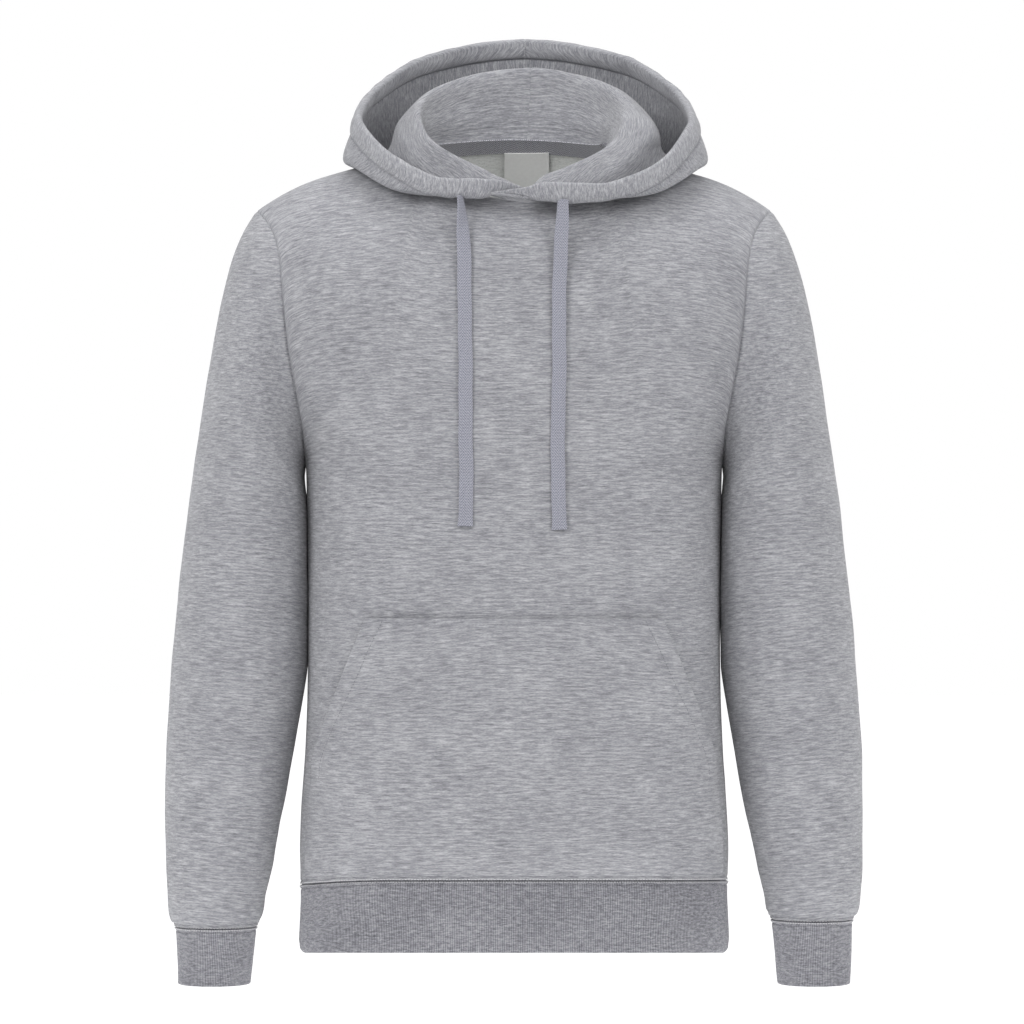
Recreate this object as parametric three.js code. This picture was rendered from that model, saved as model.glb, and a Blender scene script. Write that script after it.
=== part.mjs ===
import * as THREE from 'three';

// Pullover hoodie, worn shape with nobody in it. Millimetres, Z up, the front faces -Y,
// the origin is midway between the two side neck points.

// Driving dimensions
const seamGap = 0.3;
const fleeceWall = 2.0;
const ribWall = 3.0;
const hoodLayerWall = 1.5;
const hoodLayerGap = 0.5;
const sideNeckHalfWidth = 85;
const sideNeckHeight = 8;
const frontNeckDrop = 50;
const backNeckRise = 10;
const neckColumnRise = 45;
const shoulderSlope = 0.29;
const shoulderTipRounding = 0.0035;
const shoulderRoundingStart = 170;
const shoulderTopReach = 150;
const shoulderTipHalfWidth = 232;
const sectionPower = 2.4;
const shoulderPower = 0.6;
const necklinePower = 0.7;
const panelSpreadPower = 3;
const panelLiftPower = 5;
const underarmHeight = -280;
const sleeveClearance = 1.4;
const armholeNormalDip = 0.2;
const cuffBottomHeight = -741;
const bandRibPitch = 6;
const ribRelief = 0.5;
const pocketStandOff = 8.5;
const pocketSideClearance = 1.3;
const slopeStep = 0.5;
const pocketHalfWidthTop = 130;
const pocketTopHeight = -412;
const pocketOpeningEndHeight = -552;
const pocketCentre = 4;
const pocketColumns = 22;
const openPocketEdgeLift = 0.45;
const hoodCentre = 8;
const hoodNeckHollow = 1.5;
const rightHoodSpread = 0.025;
const hoodSeamLift = { left: 2.0, right: 2.5 };
const lowerPouchShare = 0.5;
const tunnelHeight = 15;
const tunnelSwell = 2.8;
const rimSwellShare = 0.8;
const patchInset = 0.8;
const seamMargin = 3;
const tape = {
  halfWidth: 66,
  topZ: (x) => necklineHeight(x, 1) - 0.5,
  height: 10,
  thickness: 1.0,
  columns: 14,
  rows: 2,
};
const label = { halfWidth: 20.5, topZ: () => 5, height: 44, thickness: 0.8, columns: 4, rows: 4 };
const cordWidth = 12.5;
const cordThickness = 1.8;
const cordSteps = 12;
const cordSides = 8;
const cordFlatness = { across: 0.4, through: 0.8 };

// Torso sections by height: virtual half width, front depth and back depth
const torsoSections = [
  { z: -705, half: 190.0, front: 113, back: 107 },
  { z: -690, half: 190.5, front: 114, back: 108 },
  { z: -660, half: 190.0, front: 114, back: 108 },
  { z: -646, half: 191.5, front: 116, back: 110 },
  { z: -610, half: 192.5, front: 120, back: 113 },
  { z: -540, half: 188.0, front: 123, back: 113 },
  { z: -470, half: 185.5, front: 124, back: 110 },
  { z: -400, half: 185.5, front: 125, back: 107 },
  { z: -330, half: 186.5, front: 125, back: 108 },
  { z: -280, half: 187.0, front: 124, back: 112 },
  { z: -265, half: 189.4, front: 123, back: 113 },
  { z: -236, half: 201.0, front: 122, back: 116 },
  { z: -200, half: 217.0, front: 119, back: 119 },
  { z: -150, half: 233.5, front: 114, back: 121 },
  { z: -100, half: 262.0, front: 106, back: 121 },
  { z: -70, half: 288.0, front: 99, back: 119 },
  { z: -40, half: 300.0, front: 93, back: 117 },
  { z: 30, half: 300.0, front: 88, back: 114 },
];

// Side edge of the front and back panels, hem to shoulder tip; above the underarm it is the armhole
const panelEdge = [
  { x: 0, z: -646 },
  { x: 0, z: -600 },
  { x: 0, z: -540 },
  { x: 0, z: -470 },
  { x: 0, z: -400 },
  { x: 0, z: -335 },
  { x: 187.0, z: -280 },
  { x: 187.6, z: -266 },
  { x: 189.2, z: -243 },
  { x: 194.2, z: -211 },
  { x: 201.0, z: -172 },
  { x: 205.6, z: -130 },
  { x: 208.8, z: -97 },
  { x: 214.5, z: -74 },
  { x: 223.5, z: -58.5 },
  { x: 232.0, z: -50 },
];
const underarmRow = 6;
const panelColumns = 16;

// Sleeve sections below the armhole: outer and inner points, half depth, shift in Y, share of a round section
const sleeveSections = [
  { outX: 245.0, outZ: -69, inX: 187.8, inZ: -283, depth: 76, y: 0, round: 0.3 },
  { outX: 255.0, outZ: -95, inX: 188.2, inZ: -286, depth: 80, y: 0, round: 0.6 },
  { outX: 263.5, outZ: -128, inX: 188.2, inZ: -290, depth: 83, y: 0, round: 0.85 },
  { outX: 271.5, outZ: -170, inX: 187.5, inZ: -297, depth: 84, y: 0, round: 1 },
  { outX: 280.0, outZ: -223, inX: 186.0, inZ: -310, depth: 84, y: 0, round: 1 },
  { outX: 288.0, outZ: -279, inX: 184.5, inZ: -332, depth: 81, y: 0, round: 1 },
  { outX: 295.0, outZ: -335, inX: 183.5, inZ: -366, depth: 76, y: -1, round: 1 },
  { outX: 301.5, outZ: -392, inX: 184.0, inZ: -411, depth: 71, y: -3, round: 1 },
  { outX: 307.0, outZ: -450, inX: 187.0, inZ: -460, depth: 66, y: -5, round: 1 },
  { outX: 311.0, outZ: -508, inX: 194.5, inZ: -513, depth: 61, y: -8, round: 1 },
  { outX: 313.0, outZ: -566, inX: 204.5, inZ: -569, depth: 57, y: -11, round: 1 },
  { outX: 312.5, outZ: -620, inX: 215.0, inZ: -622, depth: 52, y: -14, round: 1 },
  { outX: 310.5, outZ: -662, inX: 223.0, inZ: -664, depth: 47, y: -17, round: 1 },
  { outX: 308.5, outZ: -683, inX: 227.0, inZ: -684, depth: 43, y: -18, round: 1 },
  { outX: 303.0, outZ: -691, inX: 231.0, inZ: -691, depth: 37, y: -19, round: 1 },
];
const cuffSections = [
  { outX: 302.0, inX: 232.0, z: -700, depth: 36.0, y: -19 },
  { outX: 301.5, inX: 234.5, z: -720, depth: 34.5, y: -20 },
  { outX: 300.5, inX: 236.5, z: cuffBottomHeight, depth: 33.0, y: -21 },
];

// Pocket: rows from the waistband seam to its top seam, standing off the front in the middle
const pocketRows = [
  { z: -645.2, half: 183, lift: 0 },
  { z: -625, half: 183.5, lift: 0.5 },
  { z: -590, half: 181.5, lift: 0.85 },
  { z: -552, half: 177, lift: 1 },
  { z: -528, half: 171.5, lift: 1 },
  { z: -497, half: 161, lift: 0.96 },
  { z: -465, half: 149, lift: 0.8 },
  { z: -438, half: 139.5, lift: 0.5 },
  { z: -421, half: 133, lift: 0.15 },
  { z: pocketTopHeight, half: pocketHalfWidthTop, lift: 0 },
];

// Lowered hood, sections by angle from the front: how far the seam stands off and below the neckline, then
// radius and height of the roll, the way down its outside, the pouch bottom, the way up and the rim
const hoodColumns = [
  'angle', 'off', 'drop', 'rollR', 'rollZ', 'downR', 'downZ', 'lowR', 'lowZ', 'upR', 'upZ', 'rimR', 'rimZ',
];
const hoodSections = [
  [40, 0, 0, 98, -3, 104, -21, 109, -38, 118, -36, 120, -26],
  [60, 0, 0, 97, 14, 106, -5, 118, -32, 135, -28, 139, -3],
  [80, 0, 0, 95, 34, 107, 16, 127, -4, 157, 0, 153, 25],
  [100, 0, 0, 94, 51, 108, 29, 131, -4, 162, 6, 156, 46],
  [120, 0, 0, 93, 66, 110, 34, 139, -32, 170, 4, 156, 72],
  [145, 0, 0, 90, 80, 113, 22, 147, -88, 176, -4, 155, 104],
  [180, 0, 0, 86, 87, 110, 12, 149, -128, 179, -12, 152, 121],
];
// Front ends of the hood: the right end lies over the left one and tapers to a tip
const hoodFrontEnds = {
  left: [
    [0, 3, 4, 90, -34, 92, -35.5, 94, -36, 96.5, -35, 97, -31],
    [10, 1, 1, 94, -24, 97, -27, 99, -33, 103, -33, 104, -28],
    [20, 0, 0, 96, -18, 100, -27, 103, -38, 109, -38, 110, -29],
  ],
  right: [
    [-14, 31, 7, 116, -42.5, 116.3, -41.4, 116.5, -40.3, 116.7, -39.2, 117, -38],
    [-6, 25, 7, 109, -43, 110, -43, 111.5, -42.5, 113, -40, 114, -35.5],
    [0, 20, 7, 104, -41, 105, -42, 107, -43, 109.5, -41, 110, -35],
    [10, 6, 3, 98, -25, 101, -31, 103, -41, 109, -41, 110, -33],
    [20, 0, 0, 97, -18, 100, -29, 104, -44, 111, -43, 112, -33],
  ],
};
// How much lower the trough and rim hang on the right side
const rightHoodDrop = [
  { angle: -14, drop: 0 },
  { angle: 20, drop: 0 },
  { angle: 40, drop: 5 },
  { angle: 60, drop: 8 },
  { angle: 80, drop: 3 },
  { angle: 110, drop: 0 },
  { angle: 180, drop: 0 },
];
const hoodStations = 13;
// The narrow tip of the right end is a single layer, so its lining starts one station in
const liningStart = { left: 0, right: 1 };
const downGuide = 3;
const greatestTunnelShare = 0.35;
// Rows of the hood below its tunnel, by place along the guides: seam 0, roll 2, pouch bottom 4
const hoodRowPlaces = [0, 0.7, 1.3, 1.7, 2, 2.2, 2.5, 3, 3.5, 3.85, 4.15, 4.5, 5, 5.6];
const hoodRows = hoodRowPlaces.length + 2;

// Cord routes, from under the rim band down the chest
const cordRoutes = {
  drawcord_left: [
    { x: -48.5, out: 19, z: -47.5 },
    { x: -47.5, out: 14, z: -58 },
    { x: -46.0, out: 7, z: -76 },
    { x: -44.5, out: 2.8, z: -102 },
    { x: -43.5, out: 2.1, z: -135 },
    { x: -43.0, out: 2.1, z: -175 },
    { x: -42.5, out: 2.1, z: -215 },
    { x: -42.0, out: 2.1, z: -255 },
    { x: -42.0, out: 2.1, z: -295 },
    { x: -43.0, out: 2.1, z: -331 },
  ],
  drawcord_right: [
    { x: 42.5, out: 23, z: -52 },
    { x: 42.0, out: 16, z: -64 },
    { x: 41.0, out: 7, z: -84 },
    { x: 40.3, out: 2.8, z: -110 },
    { x: 39.8, out: 2.1, z: -140 },
    { x: 39.4, out: 2.1, z: -180 },
    { x: 39.0, out: 2.1, z: -220 },
    { x: 38.6, out: 2.1, z: -260 },
    { x: 38.6, out: 2.1, z: -298 },
    { x: 39.4, out: 2.1, z: -334 },
  ],
};

const finishes = {
  fleece: { color: 0x9c9da3, roughness: 0.95, metalness: 0 },
  rib: { color: 0x8f9097, roughness: 0.95, metalness: 0 },
  tape: { color: 0xa3a4aa, roughness: 0.9, metalness: 0 },
  label: { color: 0xf0f0ee, roughness: 0.7, metalness: 0 },
  cord: { color: 0xa9aab4, roughness: 0.85, metalness: 0 },
};

const hoodie = new THREE.Group();

function addPiece(name, geometry, finish) {
  const mesh = new THREE.Mesh(geometry, new THREE.MeshStandardMaterial(finishes[finish]));
  mesh.name = name;
  hoodie.add(mesh);
}

// Smooth value of one named column of a table, at a place along its key column
function smooth(rows, key, at, column) {
  const last = rows.length - 1;
  const rising = rows[last][key] > rows[0][key];
  let i = 0;
  while (i < last - 1 && (rising ? at > rows[i + 1][key] : at < rows[i + 1][key])) {
    i += 1;
  }
  const slope = (k) => {
    const a = rows[Math.max(k - 1, 0)];
    const b = rows[Math.min(k + 1, last)];
    return (b[column] - a[column]) / (b[key] - a[key]);
  };
  const start = rows[i];
  const end = rows[i + 1];
  const span = end[key] - start[key];
  const t = THREE.MathUtils.clamp((at - start[key]) / span, 0, 1);
  const square = t * t;
  const cube = square * t;
  return (
    (2 * cube - 3 * square + 1) * start[column] +
    (cube - 2 * square + t) * span * slope(i) +
    (3 * square - 2 * cube) * end[column] +
    (cube - square) * span * slope(i + 1)
  );
}

// Height of the shoulder line, carried on up a neck column between the side neck points
function ridgeHeight(x) {
  const across = Math.abs(x);
  if (across < sideNeckHalfWidth) {
    return sideNeckHeight + neckColumnRise * (1 - (across / sideNeckHalfWidth) ** 2);
  }
  const rounding = Math.max(0, across - shoulderRoundingStart);
  return (
    sideNeckHeight -
    shoulderSlope * (across - sideNeckHalfWidth) -
    shoulderTipRounding * rounding ** 2
  );
}

// Distance of the torso surface from the middle plane; side -1 is the front, 1 the back
function torsoDepth(x, z, side) {
  const half = smooth(torsoSections, 'z', z, 'half');
  const depth = smooth(torsoSections, 'z', z, side < 0 ? 'front' : 'back');
  const across = Math.min(1, Math.abs(x) / half);
  const below = Math.max(0, ridgeHeight(x) - z);
  const fall = 1 - Math.min(1, below / shoulderTopReach);
  const shoulder = (1 - fall ** 2) ** shoulderPower;
  return side * depth * shoulder * (1 - across ** sectionPower) ** (1 / sectionPower);
}

// Half width of the torso at a height and a distance from the middle plane
function torsoHalfWidth(y, z) {
  const half = smooth(torsoSections, 'z', z, 'half');
  const depth = smooth(torsoSections, 'z', z, y < 0 ? 'front' : 'back');
  const away = Math.min(1, Math.abs(y) / depth);
  return half * (1 - away ** sectionPower) ** (1 / sectionPower);
}

function necklineHeight(x, side) {
  const within = Math.max(0, 1 - (x / sideNeckHalfWidth) ** 2);
  if (side < 0) {
    return sideNeckHeight - frontNeckDrop * within ** necklinePower;
  }
  return sideNeckHeight + backNeckRise * within;
}

// Sum of the directions into and out of a point, which halves the angle of a fold
function foldDirection(before, point, after) {
  const into = point.clone().sub(before).normalize();
  return into.add(after.clone().sub(point).normalize());
}

// Normals of a grid of points, from its neighbours
function gridNormals(grid, closed, folded = false) {
  const rows = grid.length;
  const columns = grid[0].length;
  return grid.map((row, r) =>
    row.map((point, c) => {
      const before = closed ? row[(c + columns - 1) % columns] : row[Math.max(c - 1, 0)];
      const after = closed ? row[(c + 1) % columns] : row[Math.min(c + 1, columns - 1)];
      const below = grid[Math.max(r - 1, 0)][c];
      const above = grid[Math.min(r + 1, rows - 1)][c];
      const across = folded ? foldDirection(before, point, after) : after.clone().sub(before);
      const along = folded ? foldDirection(below, point, above) : above.clone().sub(below);
      return across.cross(along).normalize();
    }),
  );
}

function moveTowards(point, target, distance) {
  const step = target.clone().sub(point);
  return point.clone().add(step.setLength(distance));
}

// Pull the free edges of a grid back by half a seam gap, so that neighbours stay apart
function trimmed(grid, closed, firstRowGap = seamGap / 2) {
  const half = seamGap / 2;
  const lastRow = grid.length - 1;
  const lastColumn = grid[0].length - 1;
  return grid.map((row, r) =>
    row.map((point, c) => {
      let moved = point.clone();
      if (r === 0) moved = moveTowards(moved, grid[1][c], firstRowGap);
      if (r === lastRow) moved = moveTowards(moved, grid[lastRow - 1][c], half);
      if (!closed && c === 0) moved = moveTowards(moved, row[1], half);
      if (!closed && c === lastColumn) moved = moveTowards(moved, row[lastColumn - 1], half);
      return moved;
    }),
  );
}

// Closed solid between an outer and an inner grid of the same size
function solidBetween(outer, inner, closed) {
  const rows = outer.length;
  const columns = outer[0].length;
  const positions = [];
  for (const grid of [outer, inner]) {
    for (const row of grid) {
      for (const point of row) positions.push(point.x, point.y, point.z);
    }
  }
  const at = (layer, r, c) => layer * rows * columns + r * columns + (c % columns);
  const index = [];
  const quad = (a, b, c, d) => index.push(a, b, c, a, c, d);
  const spans = closed ? columns : columns - 1;
  for (let r = 0; r < rows - 1; r += 1) {
    for (let c = 0; c < spans; c += 1) {
      quad(at(0, r, c), at(0, r, c + 1), at(0, r + 1, c + 1), at(0, r + 1, c));
      quad(at(1, r, c), at(1, r + 1, c), at(1, r + 1, c + 1), at(1, r, c + 1));
    }
  }
  for (let c = 0; c < spans; c += 1) {
    quad(at(0, 0, c + 1), at(0, 0, c), at(1, 0, c), at(1, 0, c + 1));
    quad(at(0, rows - 1, c), at(0, rows - 1, c + 1), at(1, rows - 1, c + 1), at(1, rows - 1, c));
  }
  if (!closed) {
    for (let r = 0; r < rows - 1; r += 1) {
      quad(at(0, r, 0), at(0, r + 1, 0), at(1, r + 1, 0), at(1, r, 0));
      const last = columns - 1;
      quad(at(0, r + 1, last), at(0, r, last), at(1, r, last), at(1, r + 1, last));
    }
  }
  const geometry = new THREE.BufferGeometry();
  geometry.setAttribute('position', new THREE.Float32BufferAttribute(positions, 3));
  geometry.setIndex(index);
  return facingOut(geometry);
}

// Turn every triangle over where the solid's volume comes out negative
function facingOut(geometry) {
  const place = geometry.getAttribute('position');
  const index = geometry.getIndex().array;
  const corner = [new THREE.Vector3(), new THREE.Vector3(), new THREE.Vector3()];
  let volume = 0;
  for (let i = 0; i < index.length; i += 3) {
    corner.forEach((vector, k) => vector.fromBufferAttribute(place, index[i + k]));
    volume += corner[0].dot(corner[1].clone().cross(corner[2]));
  }
  if (volume < 0) {
    for (let i = 0; i < index.length; i += 3) {
      [index[i + 1], index[i + 2]] = [index[i + 2], index[i + 1]];
    }
  }
  geometry.computeVertexNormals();
  return geometry;
}

function offsetGrid(grid, normals, distance) {
  return grid.map((row, r) =>
    row.map((point, c) => point.clone().addScaledVector(normals[r][c], distance)),
  );
}

// Wall of cloth inward from a grid of its outer points
function wall(grid, normals, thickness, closed, firstRowGap) {
  const outer = trimmed(grid, closed, firstRowGap);
  const inner = trimmed(offsetGrid(grid, normals, -thickness), closed, firstRowGap);
  return solidBetween(outer, inner, closed);
}

// Front or back panel: a grid of outer points with its normals
function torsoPanel(side) {
  const topZ = (x, share) => {
    if (Math.abs(share) <= 0.5) return necklineHeight(x, side);
    return ridgeHeight(x);
  };
  const lastRow = panelEdge.length - 1;
  const bottom = panelEdge[0].z;
  const top = panelEdge[lastRow].z;
  const grid = panelEdge.map((edge, r) => {
    const row = [];
    const rise = (edge.z - bottom) / (top - bottom);
    const edgeX = edge.x || smooth(torsoSections, 'z', edge.z, 'half');
    const spread = rise ** panelSpreadPower;
    for (let c = 0; c <= panelColumns; c += 1) {
      const share = (2 * c) / panelColumns - 1;
      const size = Math.abs(share);
      const topX =
        size <= 0.5
          ? 2 * size * sideNeckHalfWidth
          : sideNeckHalfWidth + (2 * size - 1) * (shoulderTipHalfWidth - sideNeckHalfWidth);
      const lowShare = Math.sin((Math.PI / 2) * size);
      const highShare = topX / shoulderTipHalfWidth;
      const x = Math.sign(share) * edgeX * (lowShare * (1 - spread) + highShare * spread);
      const lift = topZ(topX, share) - top;
      const z = edge.z + lift * rise ** panelLiftPower;
      const onSideSeam = size === 1 && r <= underarmRow;
      const onRidge = r === lastRow && size >= 0.5;
      const y = onSideSeam || onRidge ? 0 : torsoDepth(x, z, side);
      row.push(new THREE.Vector3(x, y, z));
    }
    return row;
  });
  const normals = gridNormals(grid, false);
  normals.forEach((row, r) => {
    row.forEach((normal, c) => {
      if (normal.y * side < 0) normal.negate();
      const share = Math.abs((2 * c) / panelColumns - 1);
      if (share === 1 && r <= underarmRow) normal.set(Math.sign(grid[r][c].x), 0, 0);
      if (r === lastRow && share >= 0.5) {
        normal.set(Math.sign(grid[r][c].x) * shoulderSlope, 0, 1).normalize();
      }
    });
  });
  return { grid, normals };
}

// Armhole loop of one side, from the underarm up the front edge and down the back edge
function armholeLoop(front, back, hand) {
  const column = hand < 0 ? 0 : panelColumns;
  const last = panelEdge.length - 1;
  const points = [];
  const normals = [];
  for (let r = underarmRow; r <= last; r += 1) {
    points.push(front.grid[r][column]);
    normals.push(front.normals[r][column]);
  }
  for (let r = last - 1; r > underarmRow; r -= 1) {
    points.push(back.grid[r][column]);
    normals.push(back.normals[r][column]);
  }
  back.normals[underarmRow][column] = front.normals[underarmRow][column];
  back.normals[last][column] = front.normals[last][column];
  return { points, normals };
}

// Keep a point of the sleeve just outside the side of the torso
function clearOfTorso(point, hand) {
  if (point.z > underarmHeight) return point;
  const least = torsoHalfWidth(point.y, point.z) + sleeveClearance;
  if (Math.abs(point.x) < least) point.x = hand * least;
  return point;
}

function sleeve(loop, hand) {
  const count = loop.points.length;
  const tip = loop.points[count / 2];
  const under = loop.points[0];
  const planeMiddle = tip.clone().add(under).multiplyScalar(0.5);
  const planeHalf = tip.clone().sub(under).multiplyScalar(0.5);
  const planeSide = new THREE.Vector3(planeHalf.z, 0, -planeHalf.x).normalize();
  const local = loop.points.map((point) => {
    const away = point.clone().sub(planeMiddle);
    return {
      along: away.dot(planeHalf) / planeHalf.lengthSq(),
      aside: away.dot(planeSide),
      y: point.y,
    };
  });
  const rings = [loop.points.map((point) => point.clone())];
  for (const section of sleeveSections) {
    const outer = new THREE.Vector3(hand * section.outX, 0, section.outZ);
    const inner = new THREE.Vector3(hand * section.inX, 0, section.inZ);
    const middle = outer.clone().add(inner).multiplyScalar(0.5);
    const half = outer.clone().sub(inner).multiplyScalar(0.5);
    const aside = new THREE.Vector3(half.z, 0, -half.x).normalize();
    rings.push(
      local.map((place, i) => {
        const turn = Math.PI - (2 * Math.PI * i) / count;
        const along = THREE.MathUtils.lerp(place.along, Math.cos(turn), section.round);
        const depth = THREE.MathUtils.lerp(place.y, -section.depth * Math.sin(turn), section.round);
        const point = middle.clone().addScaledVector(half, along);
        point.addScaledVector(aside, place.aside * (1 - section.round));
        point.y = depth + section.y;
        return clearOfTorso(point, hand);
      }),
    );
  }
  const normals = gridNormals(rings, true);
  const outward = normals[5][count / 2].x * hand > 0 ? 1 : -1;
  normals.forEach((row) => row.forEach((normal) => normal.multiplyScalar(outward)));
  loop.normals.forEach((shared, i) => {
    shared.add(normals[0][i]);
    shared.z -= armholeNormalDip;
    shared.normalize();
    normals[0][i] = shared;
  });
  return { rings, normals };
}

function cuffRings(sleeveEnd, hand) {
  const count = sleeveEnd.length;
  const rings = [sleeveEnd.map((point) => point.clone())];
  for (const section of cuffSections) {
    const middleX = (section.outX + section.inX) / 2;
    const halfX = (section.outX - section.inX) / 2;
    rings.push(
      sleeveEnd.map((_, i) => {
        const turn = Math.PI - (2 * Math.PI * i) / count;
        const x = hand * (middleX + halfX * Math.cos(turn));
        return new THREE.Vector3(x, section.y - section.depth * Math.sin(turn), section.z);
      }),
    );
  }
  return rings;
}

// Outward normals of level rings, with no slope in Z
function levelNormals(rings) {
  const middle = new THREE.Vector3();
  rings[0].forEach((point) => middle.addScaledVector(point, 1 / rings[0].length));
  return gridNormals(rings, true).map((row, r) =>
    row.map((normal, c) => {
      const out = rings[r][c].clone().sub(middle);
      const level = new THREE.Vector3(normal.x, normal.y, 0).normalize();
      return level.dot(out) < 0 ? level.negate() : level;
    }),
  );
}

// Ribbed band: upright ribs raised on the outer points, the inside plain
function ribbedBand(rings) {
  const normals = levelNormals(rings);
  const inner = trimmed(offsetGrid(rings, normals, -ribWall), true);
  const plain = trimmed(rings, true);
  const count = rings[0].length;
  const perSpan = rings[0].map((point, c) => {
    const length = point.distanceTo(rings[0][(c + 1) % count]);
    return Math.max(1, Math.round(length / bandRibPitch));
  });
  const outer = plain.map((row, r) => {
    const ribbed = [];
    row.forEach((point, c) => {
      const next = row[(c + 1) % count];
      const steps = 2 * perSpan[c];
      for (let k = 0; k < steps; k += 1) {
        const share = k / steps;
        const place = point.clone().lerp(next, share);
        const out = normals[r][c].clone().lerp(normals[r][(c + 1) % count], share).normalize();
        ribbed.push(place.addScaledVector(out, k % 2 === 0 ? 0 : ribRelief));
      }
    });
    return ribbed;
  });
  return bandSolid(outer, inner, perSpan);
}

// Closed solid of a fine outer tube and a plain inner one, joined at both ends
function bandSolid(outer, inner, perSpan) {
  const positions = [];
  for (const grid of [outer, inner]) {
    for (const row of grid) {
      for (const point of row) positions.push(point.x, point.y, point.z);
    }
  }
  const rows = outer.length;
  const fine = outer[0].length;
  const coarse = inner[0].length;
  const outerAt = (r, c) => r * fine + (c % fine);
  const innerAt = (r, c) => rows * fine + r * coarse + (c % coarse);
  const index = [];
  const quad = (a, b, c, d) => index.push(a, b, c, a, c, d);
  for (let r = 0; r < rows - 1; r += 1) {
    for (let c = 0; c < fine; c += 1) {
      quad(outerAt(r, c), outerAt(r, c + 1), outerAt(r + 1, c + 1), outerAt(r + 1, c));
    }
    for (let c = 0; c < coarse; c += 1) {
      quad(innerAt(r, c), innerAt(r + 1, c), innerAt(r + 1, c + 1), innerAt(r, c + 1));
    }
  }
  for (const r of [0, rows - 1]) {
    let start = 0;
    perSpan.forEach((ribs, c) => {
      const steps = 2 * ribs;
      const ring = [];
      for (let k = 0; k < steps; k += 1) {
        const anchor = k < ribs ? innerAt(r, c) : innerAt(r, c + 1);
        ring.push([outerAt(r, start + k), outerAt(r, start + k + 1), anchor]);
      }
      ring.push([innerAt(r, c), outerAt(r, start + ribs), innerAt(r, c + 1)]);
      for (const [a, b, d] of ring) {
        if (r === 0) index.push(b, a, d);
        else index.push(a, b, d);
      }
      start += steps;
    });
  }
  const geometry = new THREE.BufferGeometry();
  geometry.setAttribute('position', new THREE.Float32BufferAttribute(positions, 3));
  geometry.setIndex(index);
  return facingOut(geometry);
}

// Waistband rings, which start at the hem of both panels
function waistbandRings(front, back) {
  const hem = [...front.grid[0]];
  for (let c = panelColumns - 1; c > 0; c -= 1) hem.push(back.grid[0][c]);
  const rings = [hem.map((point) => point.clone())];
  for (const section of torsoSections.slice(0, 3).reverse()) {
    rings.push(
      hem.map((point, i) => {
        const share = (2 * (i <= panelColumns ? i : 2 * panelColumns - i)) / panelColumns - 1;
        const x = Math.sign(share) * section.half * Math.sin((Math.PI / 2) * Math.abs(share));
        const onSide = i === 0 || i === panelColumns;
        const y = onSide ? 0 : torsoDepth(x, section.z, i < panelColumns ? -1 : 1);
        return new THREE.Vector3(x, y, section.z);
      }),
    );
  }
  return rings;
}

// Pocket, sewn along its top, its lower sides and the waistband seam
function pocketPanel() {
  const inner = pocketRows.map((row) => {
    const torsoHalf = smooth(torsoSections, 'z', row.z, 'half');
    const points = [];
    for (let c = 0; c <= pocketColumns; c += 1) {
      const share = (2 * c) / pocketColumns - 1;
      const centre = pocketCentre * (1 - share ** 2);
      const edgeTurn = Math.asin(Math.min(1, row.half / torsoHalf));
      const x = centre + torsoHalf * Math.sin(edgeTurn * share);
      const open = row.z > pocketOpeningEndHeight && row.z < pocketTopHeight;
      const edgeLift = open ? openPocketEdgeLift : 0;
      const swell = edgeLift + (1 - edgeLift) * (1 - share ** 4);
      const base = new THREE.Vector3(x, facetDepth(front.grid, x, row.z), row.z);
      const ahead = torsoDepth(x + slopeStep, row.z, -1);
      const slope = (ahead - torsoDepth(x - slopeStep, row.z, -1)) / (2 * slopeStep);
      const out = new THREE.Vector3(slope, -1, 0).normalize();
      const clear = 2 * seamGap + pocketSideClearance * share ** 2;
      points.push(base.addScaledVector(out, clear + pocketStandOff * row.lift * swell));
    }
    return points;
  });
  const normals = gridNormals(inner, false);
  normals.flat().forEach((normal) => {
    if (normal.y > 0) normal.negate();
  });
  return solidBetween(offsetGrid(inner, normals, fleeceWall), inner, false);
}

// Point of the hood's middle surface guides at an angle from the front, on one hand
function hoodPoint(angle, radius, height, hand, centre) {
  const turn = THREE.MathUtils.degToRad(angle);
  const x = centre + hand * radius * Math.sin(turn);
  return new THREE.Vector3(x, -radius * Math.cos(turn), height);
}

// Where the hood is sewn to the neckline, a little above the panels' edge
function hoodSeam(angle, hand) {
  const turn = THREE.MathUtils.degToRad(angle);
  const x = hand * (sideNeckHalfWidth - 1) * Math.sin(turn);
  const side = angle <= 90 ? -1 : 1;
  const z = necklineHeight(x, side);
  const y = torsoDepth(x, z, side);
  return new THREE.Vector3(x, y, z + (hand < 0 ? hoodSeamLift.left : hoodSeamLift.right));
}

function hoodProfile(angle, hand) {
  const sections = [...hoodFrontEnds[hand < 0 ? 'left' : 'right'], ...hoodSections].map((row) =>
    Object.fromEntries(hoodColumns.map((column, i) => [column, row[i]])),
  );
  const at = (column) => smooth(sections, 'angle', angle, column);
  const lower = hand > 0 ? smooth(rightHoodDrop, 'angle', angle, 'drop') : 0;
  const guide = [hoodSeam(angle, hand)];
  guide[0].y -= at('off');
  guide[0].z -= at('drop');
  const onRoll = hoodPoint(angle, at('rollR'), at('rollZ'), hand, hoodCentre);
  const neck = guide[0].clone().lerp(onRoll, 0.5);
  const aside = Math.sin(THREE.MathUtils.degToRad(Math.max(0, angle)));
  neck.x -= hand * hoodNeckHollow * aside;
  guide.push(neck, onRoll);
  const wide = 1 + (hand > 0 ? rightHoodSpread : 0) * aside;
  for (const name of ['down', 'low', 'up', 'rim']) {
    const fall = name === 'down' ? 0 : lower * (name === 'rim' ? 1 : lowerPouchShare);
    guide.push(hoodPoint(angle, at(`${name}R`) * wide, at(`${name}Z`) - fall, hand, hoodCentre));
  }
  return new THREE.CatmullRomCurve3(guide, false, 'centripetal');
}

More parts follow.
